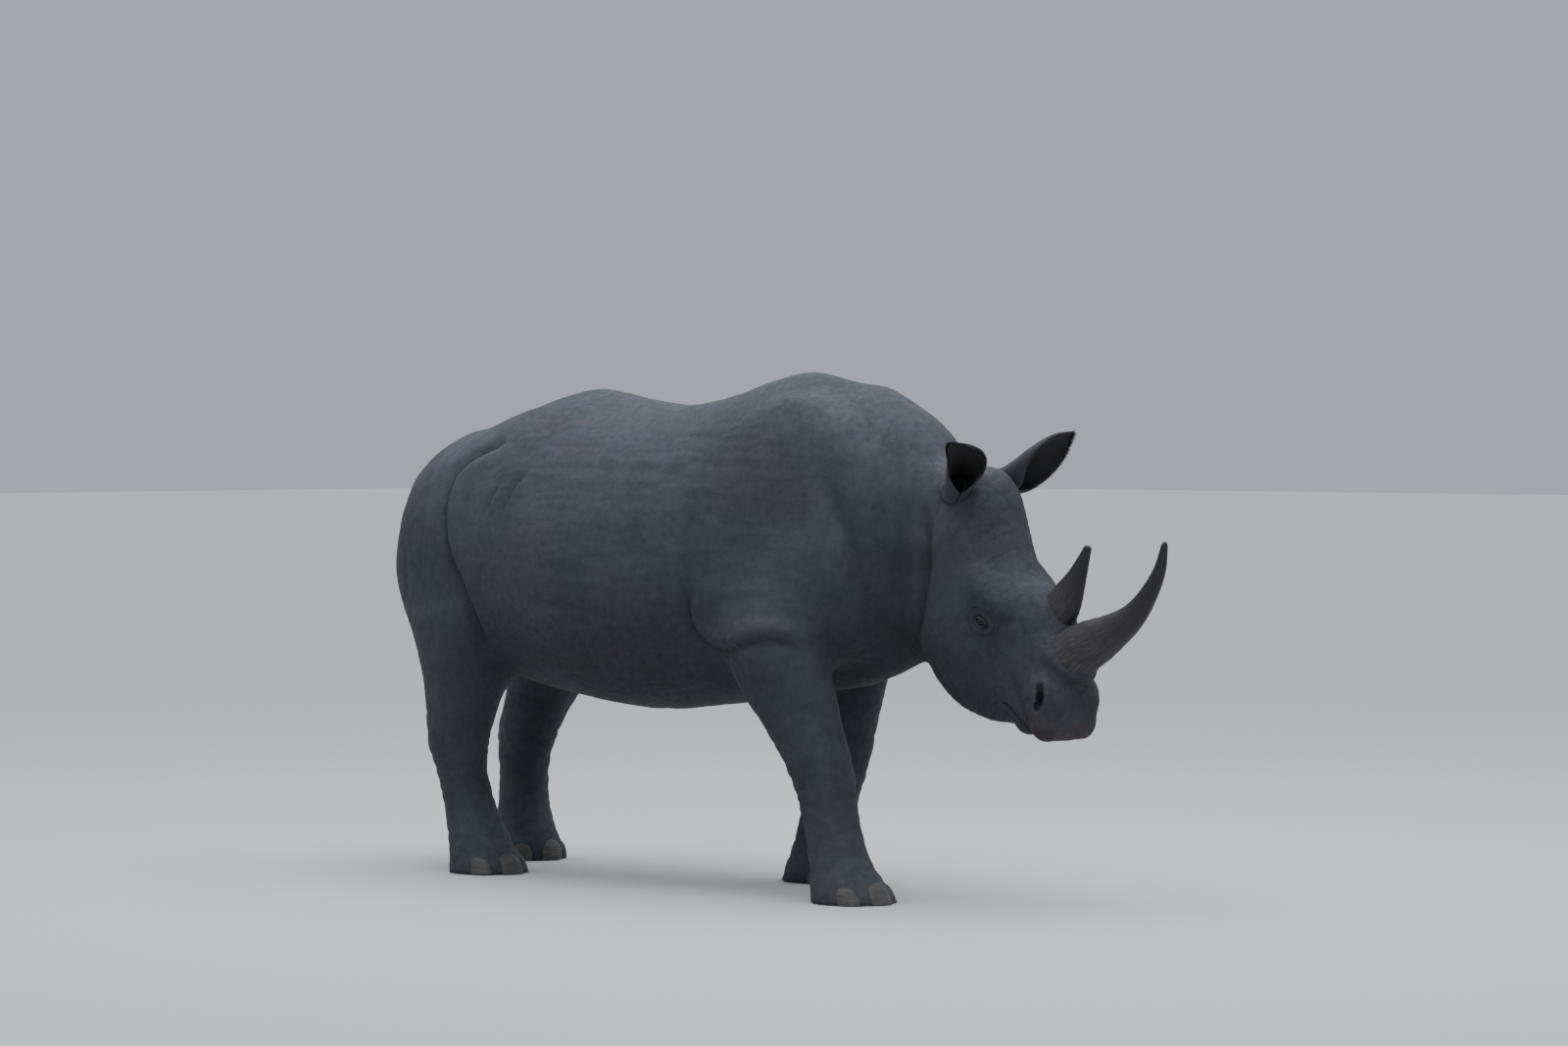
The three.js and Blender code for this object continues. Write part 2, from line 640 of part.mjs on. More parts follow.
// The slab between two planes across the neck; a null plane leaves that end open.
function slab(rearPlane, frontPlane, bottom) {
  const face = (z) => {
    const rear = rearPlane ? partX(rearPlane, z) + GAP / 2 : REGION.rear;
    const front = frontPlane ? partX(frontPlane, z) - GAP / 2 : REGION.front;
    return [
      [rear, -REGION.side, z], [front, -REGION.side, z], [front, REGION.side, z], [rear, REGION.side, z],
    ];
  };
  return block(face(bottom), face(PART_HIGH));
}

function legRegion(leg, grow) {
  const { cut, side } = leg;
  const foot = leg.middle(0).x;
  const low = -FLOOR_CUT;
  const face = (rear, front, heights) => {
    const corners = [[rear, 0], [front, 0], [front, 1], [rear, 1]].map(([x, end]) => {
      const y = end ? cut.outer + grow : cut.inner - grow;
      return [x, side * y, heights[end]];
    });
    return side > 0 ? corners : corners.reverse();
  };
  const tops = [cut.innerTop, cut.innerTop + (cut.outer - cut.inner) * cut.slope].map((z) => z + grow);
  return block(
    face(foot - cut.reach - grow, foot + cut.reach + grow, [low, low]),
    face(cut.rear - grow, cut.front + grow, tops),
  );
}

// The largest connected piece, for a region that also catches a shaving of a neighbour.
function mainPiece(body) {
  return body.decompose().reduce((best, piece) => (piece.volume() > best.volume() ? piece : best));
}

function fleshPiece({ low, high, step }, region) {
  const net = netOver(low, high, step);
  return mainPiece(solid(net.positions, net.triangles).intersect(region));
}

// ---------------------------------------------------------------- the pieces

function makeTrunk() {
  const region = slab(null, TRUNK_NECK, PART_LOW);
  const whole = Object.values(LEGS).reduce((body, leg) => body.subtract(legRegion(leg, GAP)), region);
  return fleshPiece(NET.trunk, whole);
}

function makeNeck() {
  const region = slab(TRUNK_NECK, NECK_HEAD, PART_LOW);
  const whole = Object.values(LEGS).reduce((body, leg) => body.subtract(legRegion(leg, GAP)), region);
  return fleshPiece(NET.neck, whole);
}

function eyeGeometry(side, grow) {
  const [u, s, v] = EYE.at;
  const ball = new THREE.SphereGeometry(EYE.radius + grow, EYE.sides, EYE.rows);
  const at = headPoint(u, s * side, v);
  return ball.translate(at.x, at.y, at.z);
}

function makeHead() {
  const region = slab(NECK_HEAD, null, PART_LOW);
  const head = fleshPiece(NET.head, region);
  const socket = (side) => solidOfGeometry(eyeGeometry(side, EYE.clearance));
  return [-1, 1].reduce((body, side) => body.subtract(socket(side)), head);
}

function makeLegPiece(leg) {
  const foot = leg.middle(NAIL.height);
  const { inner, reach, rear, front } = leg.cut;
  const net = NET.leg;
  const ys = [inner - net.inwards, net.outer];
  const [from, to] = leg.side > 0 ? ys : [-ys[1], -ys[0]];
  const last = Math.max(Math.min(foot.x - reach, rear), net.rear) - net.margin;
  const first = Math.max(foot.x + reach, front) + net.margin;
  const box = { low: [last, from, -FLOOR_CUT], high: [first, to, net.top], step: net.step };
  const piece = fleshPiece(box, legRegion(leg, 0).intersect(levels(0, PART_HIGH)));
  return { piece, foot };
}

function makeHorn(shape, head) {
  const steps = evenSteps(shape.line, shape.radii, shape.rings);
  const path = steps.map(({ at }) => headPoint(at[0], 0, at[1]));
  const horn = ringSolid(path, steps.map(({ radii }) => radii), shape.sides);
  return mainPiece(horn.subtract(nudged(head, path[1].clone().sub(path[0]), GAP)));
}

// A length of the tail, which hangs in the centre plane, seated on the piece before it.
function makeTail(shape, carrier, away) {
  const steps = evenSteps(shape.line, shape.radii, shape.rings);
  const path = steps.map(({ at }) => new THREE.Vector3(at[0], 0, at[1]));
  const tail = ringSolid(path, steps.map(({ radii }) => radii), shape.sides);
  return mainPiece(tail.subtract(nudged(carrier, away, GAP)));
}

// An ear: a cupped blade whose back is an arc that opens from a tube at the root, with the
// same blade set back by its thickness as the outside.
function makeEar(ear, head) {
  const reach = new THREE.Vector3(...ear.reach);
  const along = reach.clone().normalize();
  const opening = new THREE.Vector3(...ear.opening);
  opening.addScaledVector(along, -opening.dot(along)).normalize();
  const across = new THREE.Vector3().crossVectors(along, opening);
  const bow = new THREE.Vector3(...ear.bow);
  const root = headPoint(...ear.root).addScaledVector(reach, -EAR_SHAPE.sunk);
  const length = reach.length() * (1 + EAR_SHAPE.sunk);
  const [half, hollow, wrap] = [ear.half, EAR_SHAPE.hollow, EAR_SHAPE.wrap].map(curve);
  const { rows, columns, thickness, setBack, overhang } = EAR_SHAPE;
  const positions = [];
  for (const grow of [thickness, 0]) {
    for (let i = 0; i <= rows; i += 1) {
      const t = i / rows;
      const turn = THREE.MathUtils.degToRad(wrap(t));
      const past = i === rows ? overhang * (grow ? thickness : -thickness) : 0;
      const bend = 4 * t * (1 - t) * (1 + ear.skew * (1 - 2 * t));
      for (let j = 0; j <= columns; j += 1) {
        const angle = turn * ((2 * j) / columns - 1);
        const rim = root.clone()
          .addScaledVector(along, length * t + past)
          .addScaledVector(bow, bend)
          .addScaledVector(across, (half(t) + grow / 2) * Math.sin(angle))
          .addScaledVector(opening, -(hollow(t) + grow / 2 - thickness / 2) * Math.cos(angle))
          .addScaledVector(opening, -grow * setBack);
        positions.push(...rim.toArray());
      }
    }
  }
  const width = columns + 1;
  const inner = (rows + 1) * width;
  const triangles = [];
  const quad = (a, b, c, d) => triangles.push(a, b, c, a, c, d);
  for (let i = 0; i < rows; i += 1) {
    for (let j = 0; j < columns; j += 1) {
      const a = i * width + j;
      quad(a, a + 1, a + 1 + width, a + width);
      quad(inner + a, inner + a + width, inner + a + 1 + width, inner + a + 1);
    }
    const left = i * width;
    const right = left + columns;
    quad(left, left + width, inner + left + width, inner + left);
    quad(right, inner + right, inner + right + width, right + width);
  }
  for (let j = 0; j < columns; j += 1) {
    const low = j;
    const high = rows * width + j;
    quad(low, inner + low, inner + low + 1, low + 1);
    quad(high, high + 1, inner + high + 1, inner + high);
  }
  const made = solid(positions, triangles);
  const blade = made.volume() > 0 ? made : solid(positions, [...triangles].reverse());
  return mainPiece(blade.subtract(nudged(head, reach, GAP)));
}

// A toenail: a flattened ball set in the front of the foot, leaning back with its surface.
function makeNail(foot, leg, angle) {
  const turn = THREE.MathUtils.degToRad(angle) * leg.side;
  const out = new THREE.Vector3(Math.cos(turn), Math.sin(turn), 0);
  const ball = new THREE.SphereGeometry(1, NAIL.sides, NAIL.rows);
  ball.scale(NAIL.thickness, NAIL.halfWidth, NAIL.halfHeight);
  ball.rotateY(-THREE.MathUtils.degToRad(NAIL.lean));
  ball.rotateZ(turn);
  const reach = NAIL.set / Math.hypot(out.x / foot.depth, out.y / foot.width);
  ball.translate(foot.x + out.x * reach, foot.y + out.y * reach, NAIL.height);
  const nail = solidOfGeometry(ball).subtract(nudged(leg.piece, out, GAP));
  return mainPiece(nail.intersect(levels(NAIL.lowest, PART_LOW)));
}

// ---------------------------------------------------------------- assembly

const rhinoceros = new THREE.Group();

function place(name, body, material) {
  const mesh = new THREE.Mesh(geometryOfSolid(body), material);
  mesh.name = name;
  mesh.position.x = -MID_LENGTH_X;
  rhinoceros.add(mesh);
}

const trunk = makeTrunk();
const head = makeHead();
const tail = makeTail(TAIL, trunk, new THREE.Vector3(-1, 0, 0));
place("trunk", trunk, SKIN);
place("neck", makeNeck(), SKIN);
place("head", head, SKIN);
place("tail", tail, SKIN);
place("tail_tuft", makeTail(TUFT, tail, new THREE.Vector3(0, 0, -1)), HAIR);
place("horn_front", makeHorn(FRONT_HORN, head), HORN);
place("horn_rear", makeHorn(REAR_HORN, head), HORN);
for (const [name, ear] of Object.entries(EARS)) place(name, makeEar(ear, head), EAR_SKIN);
place("eye_right", solidOfGeometry(eyeGeometry(-1, 0)), EYE_GLOSS);
place("eye_left", solidOfGeometry(eyeGeometry(1, 0)), EYE_GLOSS);
for (const [name, leg] of Object.entries(LEGS)) {
  const { piece, foot } = makeLegPiece(leg);
  place(name, piece, SKIN);
  for (const [toe, angle] of Object.entries(TOES)) {
    const nail = makeNail(foot, { side: leg.side, piece }, angle);
    place(name.replace("leg", "nail") + "_" + toe, nail, NAIL_HORN);
  }
}

export default rhinoceros;
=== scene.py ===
"""A life-size white rhinoceros, walking with its head lowered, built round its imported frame.

The skin is one surface. A solid field, in millimetres, gives its form: closed curves make the
trunk, head, legs and tail, and ellipsoids add the masses of muscle. A net is drawn over that
field, made finer on the head, and then pressed into folds and wrinkles. Eyes, lids, horns,
ears, toenails and hair are surfaces of two parameters laid on the skin.
"""
import logging
import math
from collections.abc import Callable
from dataclasses import dataclass, field
from enum import IntEnum

import bmesh
import bpy
import numpy as np
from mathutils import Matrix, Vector

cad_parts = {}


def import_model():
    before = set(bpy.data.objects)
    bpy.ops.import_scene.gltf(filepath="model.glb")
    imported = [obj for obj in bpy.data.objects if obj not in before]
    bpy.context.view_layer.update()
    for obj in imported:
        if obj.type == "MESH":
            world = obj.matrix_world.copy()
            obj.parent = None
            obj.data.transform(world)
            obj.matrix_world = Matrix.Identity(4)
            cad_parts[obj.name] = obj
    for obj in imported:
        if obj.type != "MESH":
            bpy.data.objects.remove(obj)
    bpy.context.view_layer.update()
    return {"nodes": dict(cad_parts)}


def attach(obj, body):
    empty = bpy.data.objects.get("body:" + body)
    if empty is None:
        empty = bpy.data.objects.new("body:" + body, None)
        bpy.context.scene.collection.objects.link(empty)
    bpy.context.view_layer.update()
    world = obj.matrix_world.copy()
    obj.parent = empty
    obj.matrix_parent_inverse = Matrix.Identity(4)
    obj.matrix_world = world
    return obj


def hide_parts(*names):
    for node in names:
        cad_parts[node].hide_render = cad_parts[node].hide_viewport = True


LOG = logging.getLogger("white_rhinoceros")
Array = np.ndarray
Field = Callable[[Array], Array]  # from points to their distances
Pair = tuple[float, float]
Triple = tuple[float, float, float]
Points = tuple[Pair, ...]
Ramp = Pair  # where a mask starts and where it is full
Colour = tuple[float, float, float, float]
Piece = bpy.types.Object
Mesh = bpy.types.Mesh
Material = bpy.types.Material
Tree = bpy.types.NodeTree
Node = bpy.types.Node
Socket = bpy.types.NodeSocket


class Side(IntEnum):
    """Which of a pair, as the sign of its distance across the body."""

    RIGHT = -1
    LEFT = 1

    @property
    def word(self) -> str:
        """The side as it stands in the names of pieces."""
        return self.name.lower()


MM = 0.001
MID_LENGTH_X = 435.0  # the field's x over the row's origin, about the middle of the length
CURVE_SAMPLES = 900
LEAST_SLOPE = 0.6  # least slope of a section's field, over one part in its half size
TINY = 1e-9  # keeps roots and divisions off zero


# ------------ curves and blends


class Curve:
    """A smooth line through (station, value) points, held level beyond both ends.

    Between two points it is the cubic that meets both values, with each end's slope taken from
    the chord between the points before and after it.
    """

    def __init__(self, *points: Pair) -> None:
        """Samples the line finely, so that reading it is a table look-up.

        Args:
            points: The (station, value) pairs, in the order of their stations.
        """
        x, y = np.array(points, float).T
        last = len(x) - 1
        before = np.maximum(np.arange(len(x)) - 1, 0)
        after = np.minimum(np.arange(len(x)) + 1, last)
        slope = (y[after] - y[before]) / (x[after] - x[before])
        self.stations = np.linspace(x[0], x[-1], CURVE_SAMPLES)
        i = np.clip(np.searchsorted(x, self.stations, side="right") - 1, 0, last - 1)
        span = x[i + 1] - x[i]
        t = (self.stations - x[i]) / span
        s = 1 - t
        rising = y[i + 1] * t * t * (1 + 2 * s) - slope[i + 1] * span * t * t * s
        self.values = y[i] * s * s * (1 + 2 * t) + slope[i] * span * t * s * s + rising

    def __call__(self, station: Array) -> Array:
        """Returns the value at each station."""
        return np.interp(station, self.stations, self.values)


def lesser(a: Array, b: Array, width: float) -> Array:
    """Returns the lesser of two distances, rounded where they meet over a width."""
    overlap = np.maximum(width - np.abs(a - b), 0) / width
    return np.minimum(a, b) - overlap * overlap * width / 4


def greater(a: Array, b: Array, width: float) -> Array:
    """Returns the greater of two distances, rounded where they meet over a width."""
    return -lesser(-a, -b, width)


def smooth_step(low: float, high: float, value: Array) -> Array:
    """Returns 0 below low and 1 above high, with a smooth rise between them."""
    t = np.clip((value - low) / (high - low), 0, 1)
    return t * t * (3 - 2 * t)


def unit(vectors: Array) -> Array:
    """Returns each vector at length one."""
    return vectors / np.maximum(np.linalg.norm(vectors, axis=-1, keepdims=True), TINY)


def bell(value: Array, width: float) -> Array:
    """Returns a bell curve: one where the value is zero, dying away over the width."""
    return np.exp(-((value / width) ** 2))


def stacked(*parts: Array) -> Array:
    """Returns grids of x, y and z as one grid of points."""
    return np.stack(np.broadcast_arrays(*parts), axis=-1)


def gap_to(path: Array, p: Array) -> Array:
    """Returns how far each point is from the nearest point of a path."""
    return np.min([np.linalg.norm(p - point, axis=1) for point in path], axis=0)


def spline(points: Array, count: int) -> Array:
    """Spaces points evenly on the smooth curve through the given ones.

    Args:
        points: Points of any dimension, one to a row.
        count: How many points to return.

    Returns:
        The points, one to a row.
    """
    points = np.array(points, float)
    steps = np.linalg.norm(np.diff(points, axis=0), axis=1)
    along = np.concatenate([[0], np.cumsum(steps)])
    curves = [Curve(*zip(along, column)) for column in points.T]
    return np.stack([curve(np.linspace(0, along[-1], count)) for curve in curves], axis=1)


# ------------ the solid field


@dataclass(frozen=True)
class Loft:
    """Closed sections along an axis, each a superellipse whose two halves differ."""

    top: Curve
    bottom: Curve
    half: Curve
    level: Curve
    upper: Curve
    lower: Curve

    def distance(self, station: Array, across: Array, up: Array) -> Array:
        """Measures how far points are outside the section at their station.

        The section's measure is the sum of the two ratios to half width and height, each raised
        to the fullness, and its root less one; that over its slope is the distance.

        Args:
            station: Places along the axis.
            across: Distances to the side of the axis.
            up: Heights over the axis.

        Returns:
            About the distance to the section, less than zero inside.
        """
        half = self.half(station)
        level = self.level(station)
        over = up > level
        height = np.where(over, self.top(station) - level, level - self.bottom(station))
        power = np.where(over, self.upper(station), self.lower(station))
        a = np.abs(across) / half
        b = np.abs(up - level) / height
        k = (a**power + b**power + TINY) ** (1 / power)
        slope = np.hypot((a / k) ** (power - 1) / half, (b / k) ** (power - 1) / height)
        return (k - 1) / np.maximum(slope, LEAST_SLOPE / np.maximum(half, height))


@dataclass(frozen=True)
class Mass:
    """An ellipsoid of flesh or bone, tilted nose down, blended into what is there."""

    at: Triple
    radii: Triple
    blend: float
    tilt: float = 0.0
    walks: bool = False

    def distance(self, p: Array, middle: Array) -> Array:
        """Measures how far points are outside the ellipsoid.

        Args:
            p: The points.
            middle: The ellipsoid's middle.

        Returns:
            About the distance, less than zero inside.
        """
        c, s = math.cos(math.radians(self.tilt)), math.sin(math.radians(self.tilt))
        d = p - middle
        local = np.stack([d[:, 0] * c - d[:, 2] * s, d[:, 1], d[:, 0] * s + d[:, 2] * c], axis=1)
        ratio = local / np.array(self.radii)
        k = np.linalg.norm(ratio, axis=1)
        slope = np.linalg.norm(ratio / np.array(self.radii), axis=1)
        return k * (k - 1) / np.maximum(slope, TINY)


@dataclass(frozen=True)
class HeadFrame:
    """The head's own frame: u down the face from the poll, s to its left, v off the face."""

    poll: Triple = (1335.0, 0.0, 1455.0)
    pitch: float = 50.0

    def axes(self) -> Array:
        """Returns the directions of u, s and v as rows."""
        c, s = math.cos(math.radians(self.pitch)), math.sin(math.radians(self.pitch))
        return np.array([[c, 0, -s], [0, 1, 0], [s, 0, c]])

    def to_body(self, usv: Array) -> Array:
        """Returns points of the head's frame in the body's."""
        return np.asarray(usv, float) @ self.axes() + np.array(self.poll)

    def to_head(self, p: Array) -> Array:
        """Returns points of the body's frame in the head's."""
        return (p - np.array(self.poll)) @ self.axes().T

    @staticmethod
    def folded(usv: Array) -> Array:
        """Returns points of the head's frame with its right half laid over its left."""
        return np.column_stack([usv[:, 0], np.abs(usv[:, 1]), usv[:, 2]])


@dataclass(frozen=True)
class Head:
    """The skull, muzzle and lips."""

    frame: HeadFrame = HeadFrame()
    loft: Loft = Loft(
        top=Curve((-120, -20), (0, 50), (60, 105), (115, 126), (200, 110), (320, 46), (430, 12),
                  (530, 36), (640, 46), (720, 28), (800, 0), (860, -42), (920, -92), (980, -150)),
        bottom=Curve((-120, -300), (0, -350), (200, -450), (350, -500), (470, -514), (560, -506),
                     (650, -476), (740, -413), (800, -350), (860, -294), (920, -246), (980, -219)),
        half=Curve((-120, 125), (0, 148), (200, 164), (400, 176), (470, 178), (560, 162),
                   (640, 144), (720, 132), (800, 126), (860, 130), (980, 126)),
        level=Curve((-120, -120), (0, -110), (300, -130), (540, -140), (720, -160), (860, -178),
                    (980, -195)),
        upper=Curve((-120, 2), (0, 2.3), (200, 2.6), (450, 2.4), (600, 2.15), (980, 2.5)),
        lower=Curve((-120, 2), (200, 1.9), (450, 2), (700, 2.2), (860, 2.5), (980, 2.6)),
    )
    ends: Triple = (-60.0, 925.0, 70.0)
    paired: tuple[Mass, ...] = (
        Mass((410, 102, -275), (215, 84, 150), 70),
        Mass((465, 138, -68), (92, 44, 44), 50),
        Mass((868, 84, -118), (74, 50, 56), 45),
    )
    bosses: tuple[Mass, ...] = (
        Mass((784, 0, -16), (108, 100, 36), 50),
        Mass((612, 0, 24), (98, 76, 32), 45),
    )
    lips: tuple[tuple[float, float, float, float, float], ...] = (
        (936, -188, 82, 52, 50),
        (868, -258, 62, 38, 34),
    )

    def distance(self, p: Array) -> Array:
        """Measures how far points are outside the head.

        Args:
            p: The points, in the body's frame.

        Returns:
            About the distance, less than zero inside.
        """
        u, s, v = self.frame.to_head(p).T
        rear, front, blend = self.ends
        d = greater(self.loft.distance(u, s, v), np.maximum(u - front, rear - u), blend)
        for mass in self.paired:
            for side in (Side.LEFT, Side.RIGHT):
                d = self.with_mass(d, p, mass, side)
        for lip_u, lip_v, half, radius, lip_blend in self.lips:
            past = np.maximum(np.abs(s) - half, 0)
            bar = np.sqrt((u - lip_u) ** 2 + (v - lip_v) ** 2 + past**2) - radius
            d = lesser(d, bar, lip_blend)
        for mass in self.bosses:
            d = self.with_mass(d, p, mass, Side.LEFT)
        return d

    def with_mass(self, d: Array, p: Array, mass: Mass, side: Side) -> Array:
        """Adds one of the head's masses on a side.

        Args:
            d: The distance so far.
            p: The points, in the body's frame.
            mass: The mass, placed in the head's frame.
            side: Which side it lies on.

        Returns:
            The distance with the mass blended in.
        """
        middle = self.frame.to_body([mass.at[0], mass.at[1] * side, mass.at[2]])
        tilted = Mass(mass.at, mass.radii, mass.blend, self.frame.pitch)
        return lesser(d, tilted.distance(p, middle), mass.blend)


@dataclass(frozen=True)
class Groove:
    """A round-bottomed cut along a line on the head, given in the head's frame."""

    line: tuple[Triple, ...]
    radius: float
    blend: float
    steps: int = 24

    def cut(self, d: Array, usv: Array) -> Array:
        """Cuts the groove out on both sides of the head.

        Args:
            d: The distance so far.
            usv: The points, in the head's frame.

        Returns:
            The distance with the groove cut out.
        """
        near = d < self.radius + self.blend
        if near.any():
            gap = gap_to(spline(self.line, self.steps), HeadFrame.folded(usv[near]))
            d = d.copy()
            d[near] = greater(d[near], self.radius - gap, self.blend)
        return d


EYE_PLACE = (530.0, 160.0, -135.0)  # the left eye's, in the head's frame
EAR_ROOTS = {Side.RIGHT: (90.0, -140.0, 48.0), Side.LEFT: (45.0, 148.0, 30.0)}  # in the head's frame
NOSTRIL = ((844, 130, -97), (858, 132, -106), (872, 133, -119), (884, 133, -132), (888, 131, -145))
MOUTH = ((920, 0, -248), (918, 45, -247), (911, 87, -244), (894, 109, -243), (850, 116, -249),
         (810, 114, -258), (786, 114, -265))
MOUTH_CORNER = ((800, 114, -261), (776, 114, -270), (757, 113, -284), (748, 110, -304))


@dataclass(frozen=True)
class Openings:
    """What is cut into the head: the nostrils, the mouth's line and the eyes' sockets."""

    head: HeadFrame = HeadFrame()
    reach: Pair = (1250.0, 60.0)  # the least x, and how far off the flesh
    socket: Pair = (24.0, 6.0)  # the eye's: its radius and its edge's blend
    ear_pit: Pair = (26.0, 10.0)
    pit_stretch: Triple = (1, 1, 0.6)
    cuts: tuple[Groove, ...] = (
        Groove(NOSTRIL, 12, 8),
        Groove(((866, 116, -116), (880, 112, -132)), 17, 8),
        Groove(MOUTH, 6.5, 7),
    )

    def cut(self, d: Array, p: Array) -> Array:
        """Cuts every opening out.

        Args:
            d: The distance to the flesh.
            p: The points, in the body's frame.

        Returns:
            The distance with the openings cut out.
        """
        near = (p[:, 0] > self.reach[0]) & (d < self.reach[1])
        if not near.any():
            return d
        d = d.copy()
        usv = self.head.to_head(p[near])
        part = d[near]
        for groove in self.cuts:
            part = groove.cut(part, usv)
        radius, blend = self.socket
        part = greater(part, radius - gap_to([EYE_PLACE], HeadFrame.folded(usv)), blend)
        radius, blend = self.ear_pit
        for place in EAR_ROOTS.values():
            off = (usv - np.array(place)) * self.pit_stretch
            part = greater(part, radius - np.linalg.norm(off, axis=1), blend)
        d[near] = part
        return d


# the widths over which parts of the body run into each other
LEG_TOP_BLEND = 40.0
LEG_BLEND = 55.0
HEAD_BLEND = 60.0
TAIL_BLEND = 22.0


@dataclass(frozen=True)
class LegShape:
    """A leg's curves up its height, shared by left and right, and how each side swings."""

    x: Curve
    y: Curve
    depth: Curve
    width: Curve
    top: float
    pivot: float
    swing: dict[Side, float]

    def middle(self, z: Array, side: Side) -> tuple[Array, Array]:
        """Returns x and y of the leg's middle at each height."""
        lean = self.swing[side] * (self.pivot - np.minimum(z, self.pivot)) / self.pivot
        return self.x(z) + lean, side * self.y(z)

    def distance(self, p: Array, side: Side) -> Array:
        """Measures how far points are outside the leg's oval at their height.

        Args:
            p: The points, in the body's frame.
            side: Which of the pair.

        Returns:
            About the distance, less than zero inside.
        """
        x, y = self.middle(p[:, 2], side)
        depth, width = self.depth(p[:, 2]), self.width(p[:, 2])
        a, b = (p[:, 0] - x) / depth, (p[:, 1] - y) / width
        k = np.sqrt(a * a + b * b + TINY)
        slope = np.hypot(a / depth, b / width) / k
        oval = (k - 1) / np.maximum(slope, LEAST_SLOPE / np.maximum(depth, width))
        return greater(oval, p[:, 2] - self.top, LEG_TOP_BLEND)


FORELEG = LegShape(
    x=Curve((-40, 704), (40, 700), (100, 692), (180, 682), (300, 684), (430, 688), (560, 662),
            (700, 628), (840, 612), (950, 640), (1100, 720), (1250, 780), (1380, 800)),
    y=Curve((-40, 290), (180, 292), (430, 298), (700, 315), (840, 320), (950, 306), (1100, 260),
            (1250, 190), (1380, 120)),
    depth=Curve((-40, 146), (40, 142), (100, 124), (180, 106), (300, 104), (430, 123),
                (560, 146), (700, 190), (840, 215), (950, 228), (1100, 205), (1250, 150),
                (1380, 60)),
    width=Curve((-40, 138), (40, 133), (100, 116), (180, 99), (300, 96), (430, 106),
                (560, 112), (700, 122), (840, 132), (950, 135), (1100, 118), (1250, 90),
                (1380, 40)),
    top=1380,
    pivot=1400,
    swing={Side.RIGHT: 400, Side.LEFT: -300},
)
HINDLEG = LegShape(
    x=Curve((-40, -985), (40, -988), (110, -1000), (200, -1020), (340, -1036), (470, -1032),
            (580, -990), (700, -935), (820, -898), (950, -890), (1120, -905), (1420, -900)),
    y=Curve((-40, 272), (200, 275), (470, 282), (700, 290), (820, 288), (950, 274),
            (1120, 236), (1280, 180), (1420, 110)),
    depth=Curve((-40, 144), (40, 140), (110, 122), (200, 101), (340, 100), (470, 126),
                (580, 148), (700, 184), (820, 230), (950, 280), (1120, 280), (1280, 210),
                (1420, 70)),
    width=Curve((-40, 136), (40, 130), (110, 113), (200, 96), (340, 92), (470, 100),
                (580, 111), (700, 131), (820, 150), (950, 162), (1120, 150), (1280, 110),
                (1420, 50)),
    top=1420,
    pivot=1250,
    swing={Side.RIGHT: 260, Side.LEFT: -110},
)


@dataclass(frozen=True)
class Tail:
    """The tail, hanging in the centre plane: its middle line and its radius along it."""

    line: Points = ((-1195, 1425), (-1262, 1400), (-1318, 1330), (-1345, 1230), (-1352, 1120),
                    (-1350, 1000), (-1346, 940))
    radii: tuple[float, ...] = (54, 48, 39, 30, 25, 20, 15)
    steps: int = 60
    rear_of: float = -1050.0  # the box outside which the tail is not looked for
    half_width: float = 260.0
    lowest: float = 820.0
    far: float = 1e4  # the distance given there

    def distance(self, p: Array) -> Array:
        """Measures how far points are outside the tail.

        Args:
            p: The points, in the body's frame.

        Returns:
            The distance near the tail, and a large value elsewhere.
        """
        d = np.full(len(p), self.far)
        near = (p[:, 0] < self.rear_of) & (np.abs(p[:, 1]) < self.half_width)
        near &= p[:, 2] > self.lowest
        path = spline(np.column_stack([self.line, self.radii]), self.steps)
        x, y, z = p[near].T
        gaps = [np.sqrt((x - a) ** 2 + y**2 + (z - b) ** 2) - r for a, b, r in path]
        if near.any():
            d[near] = np.min(gaps, axis=0)
        return d


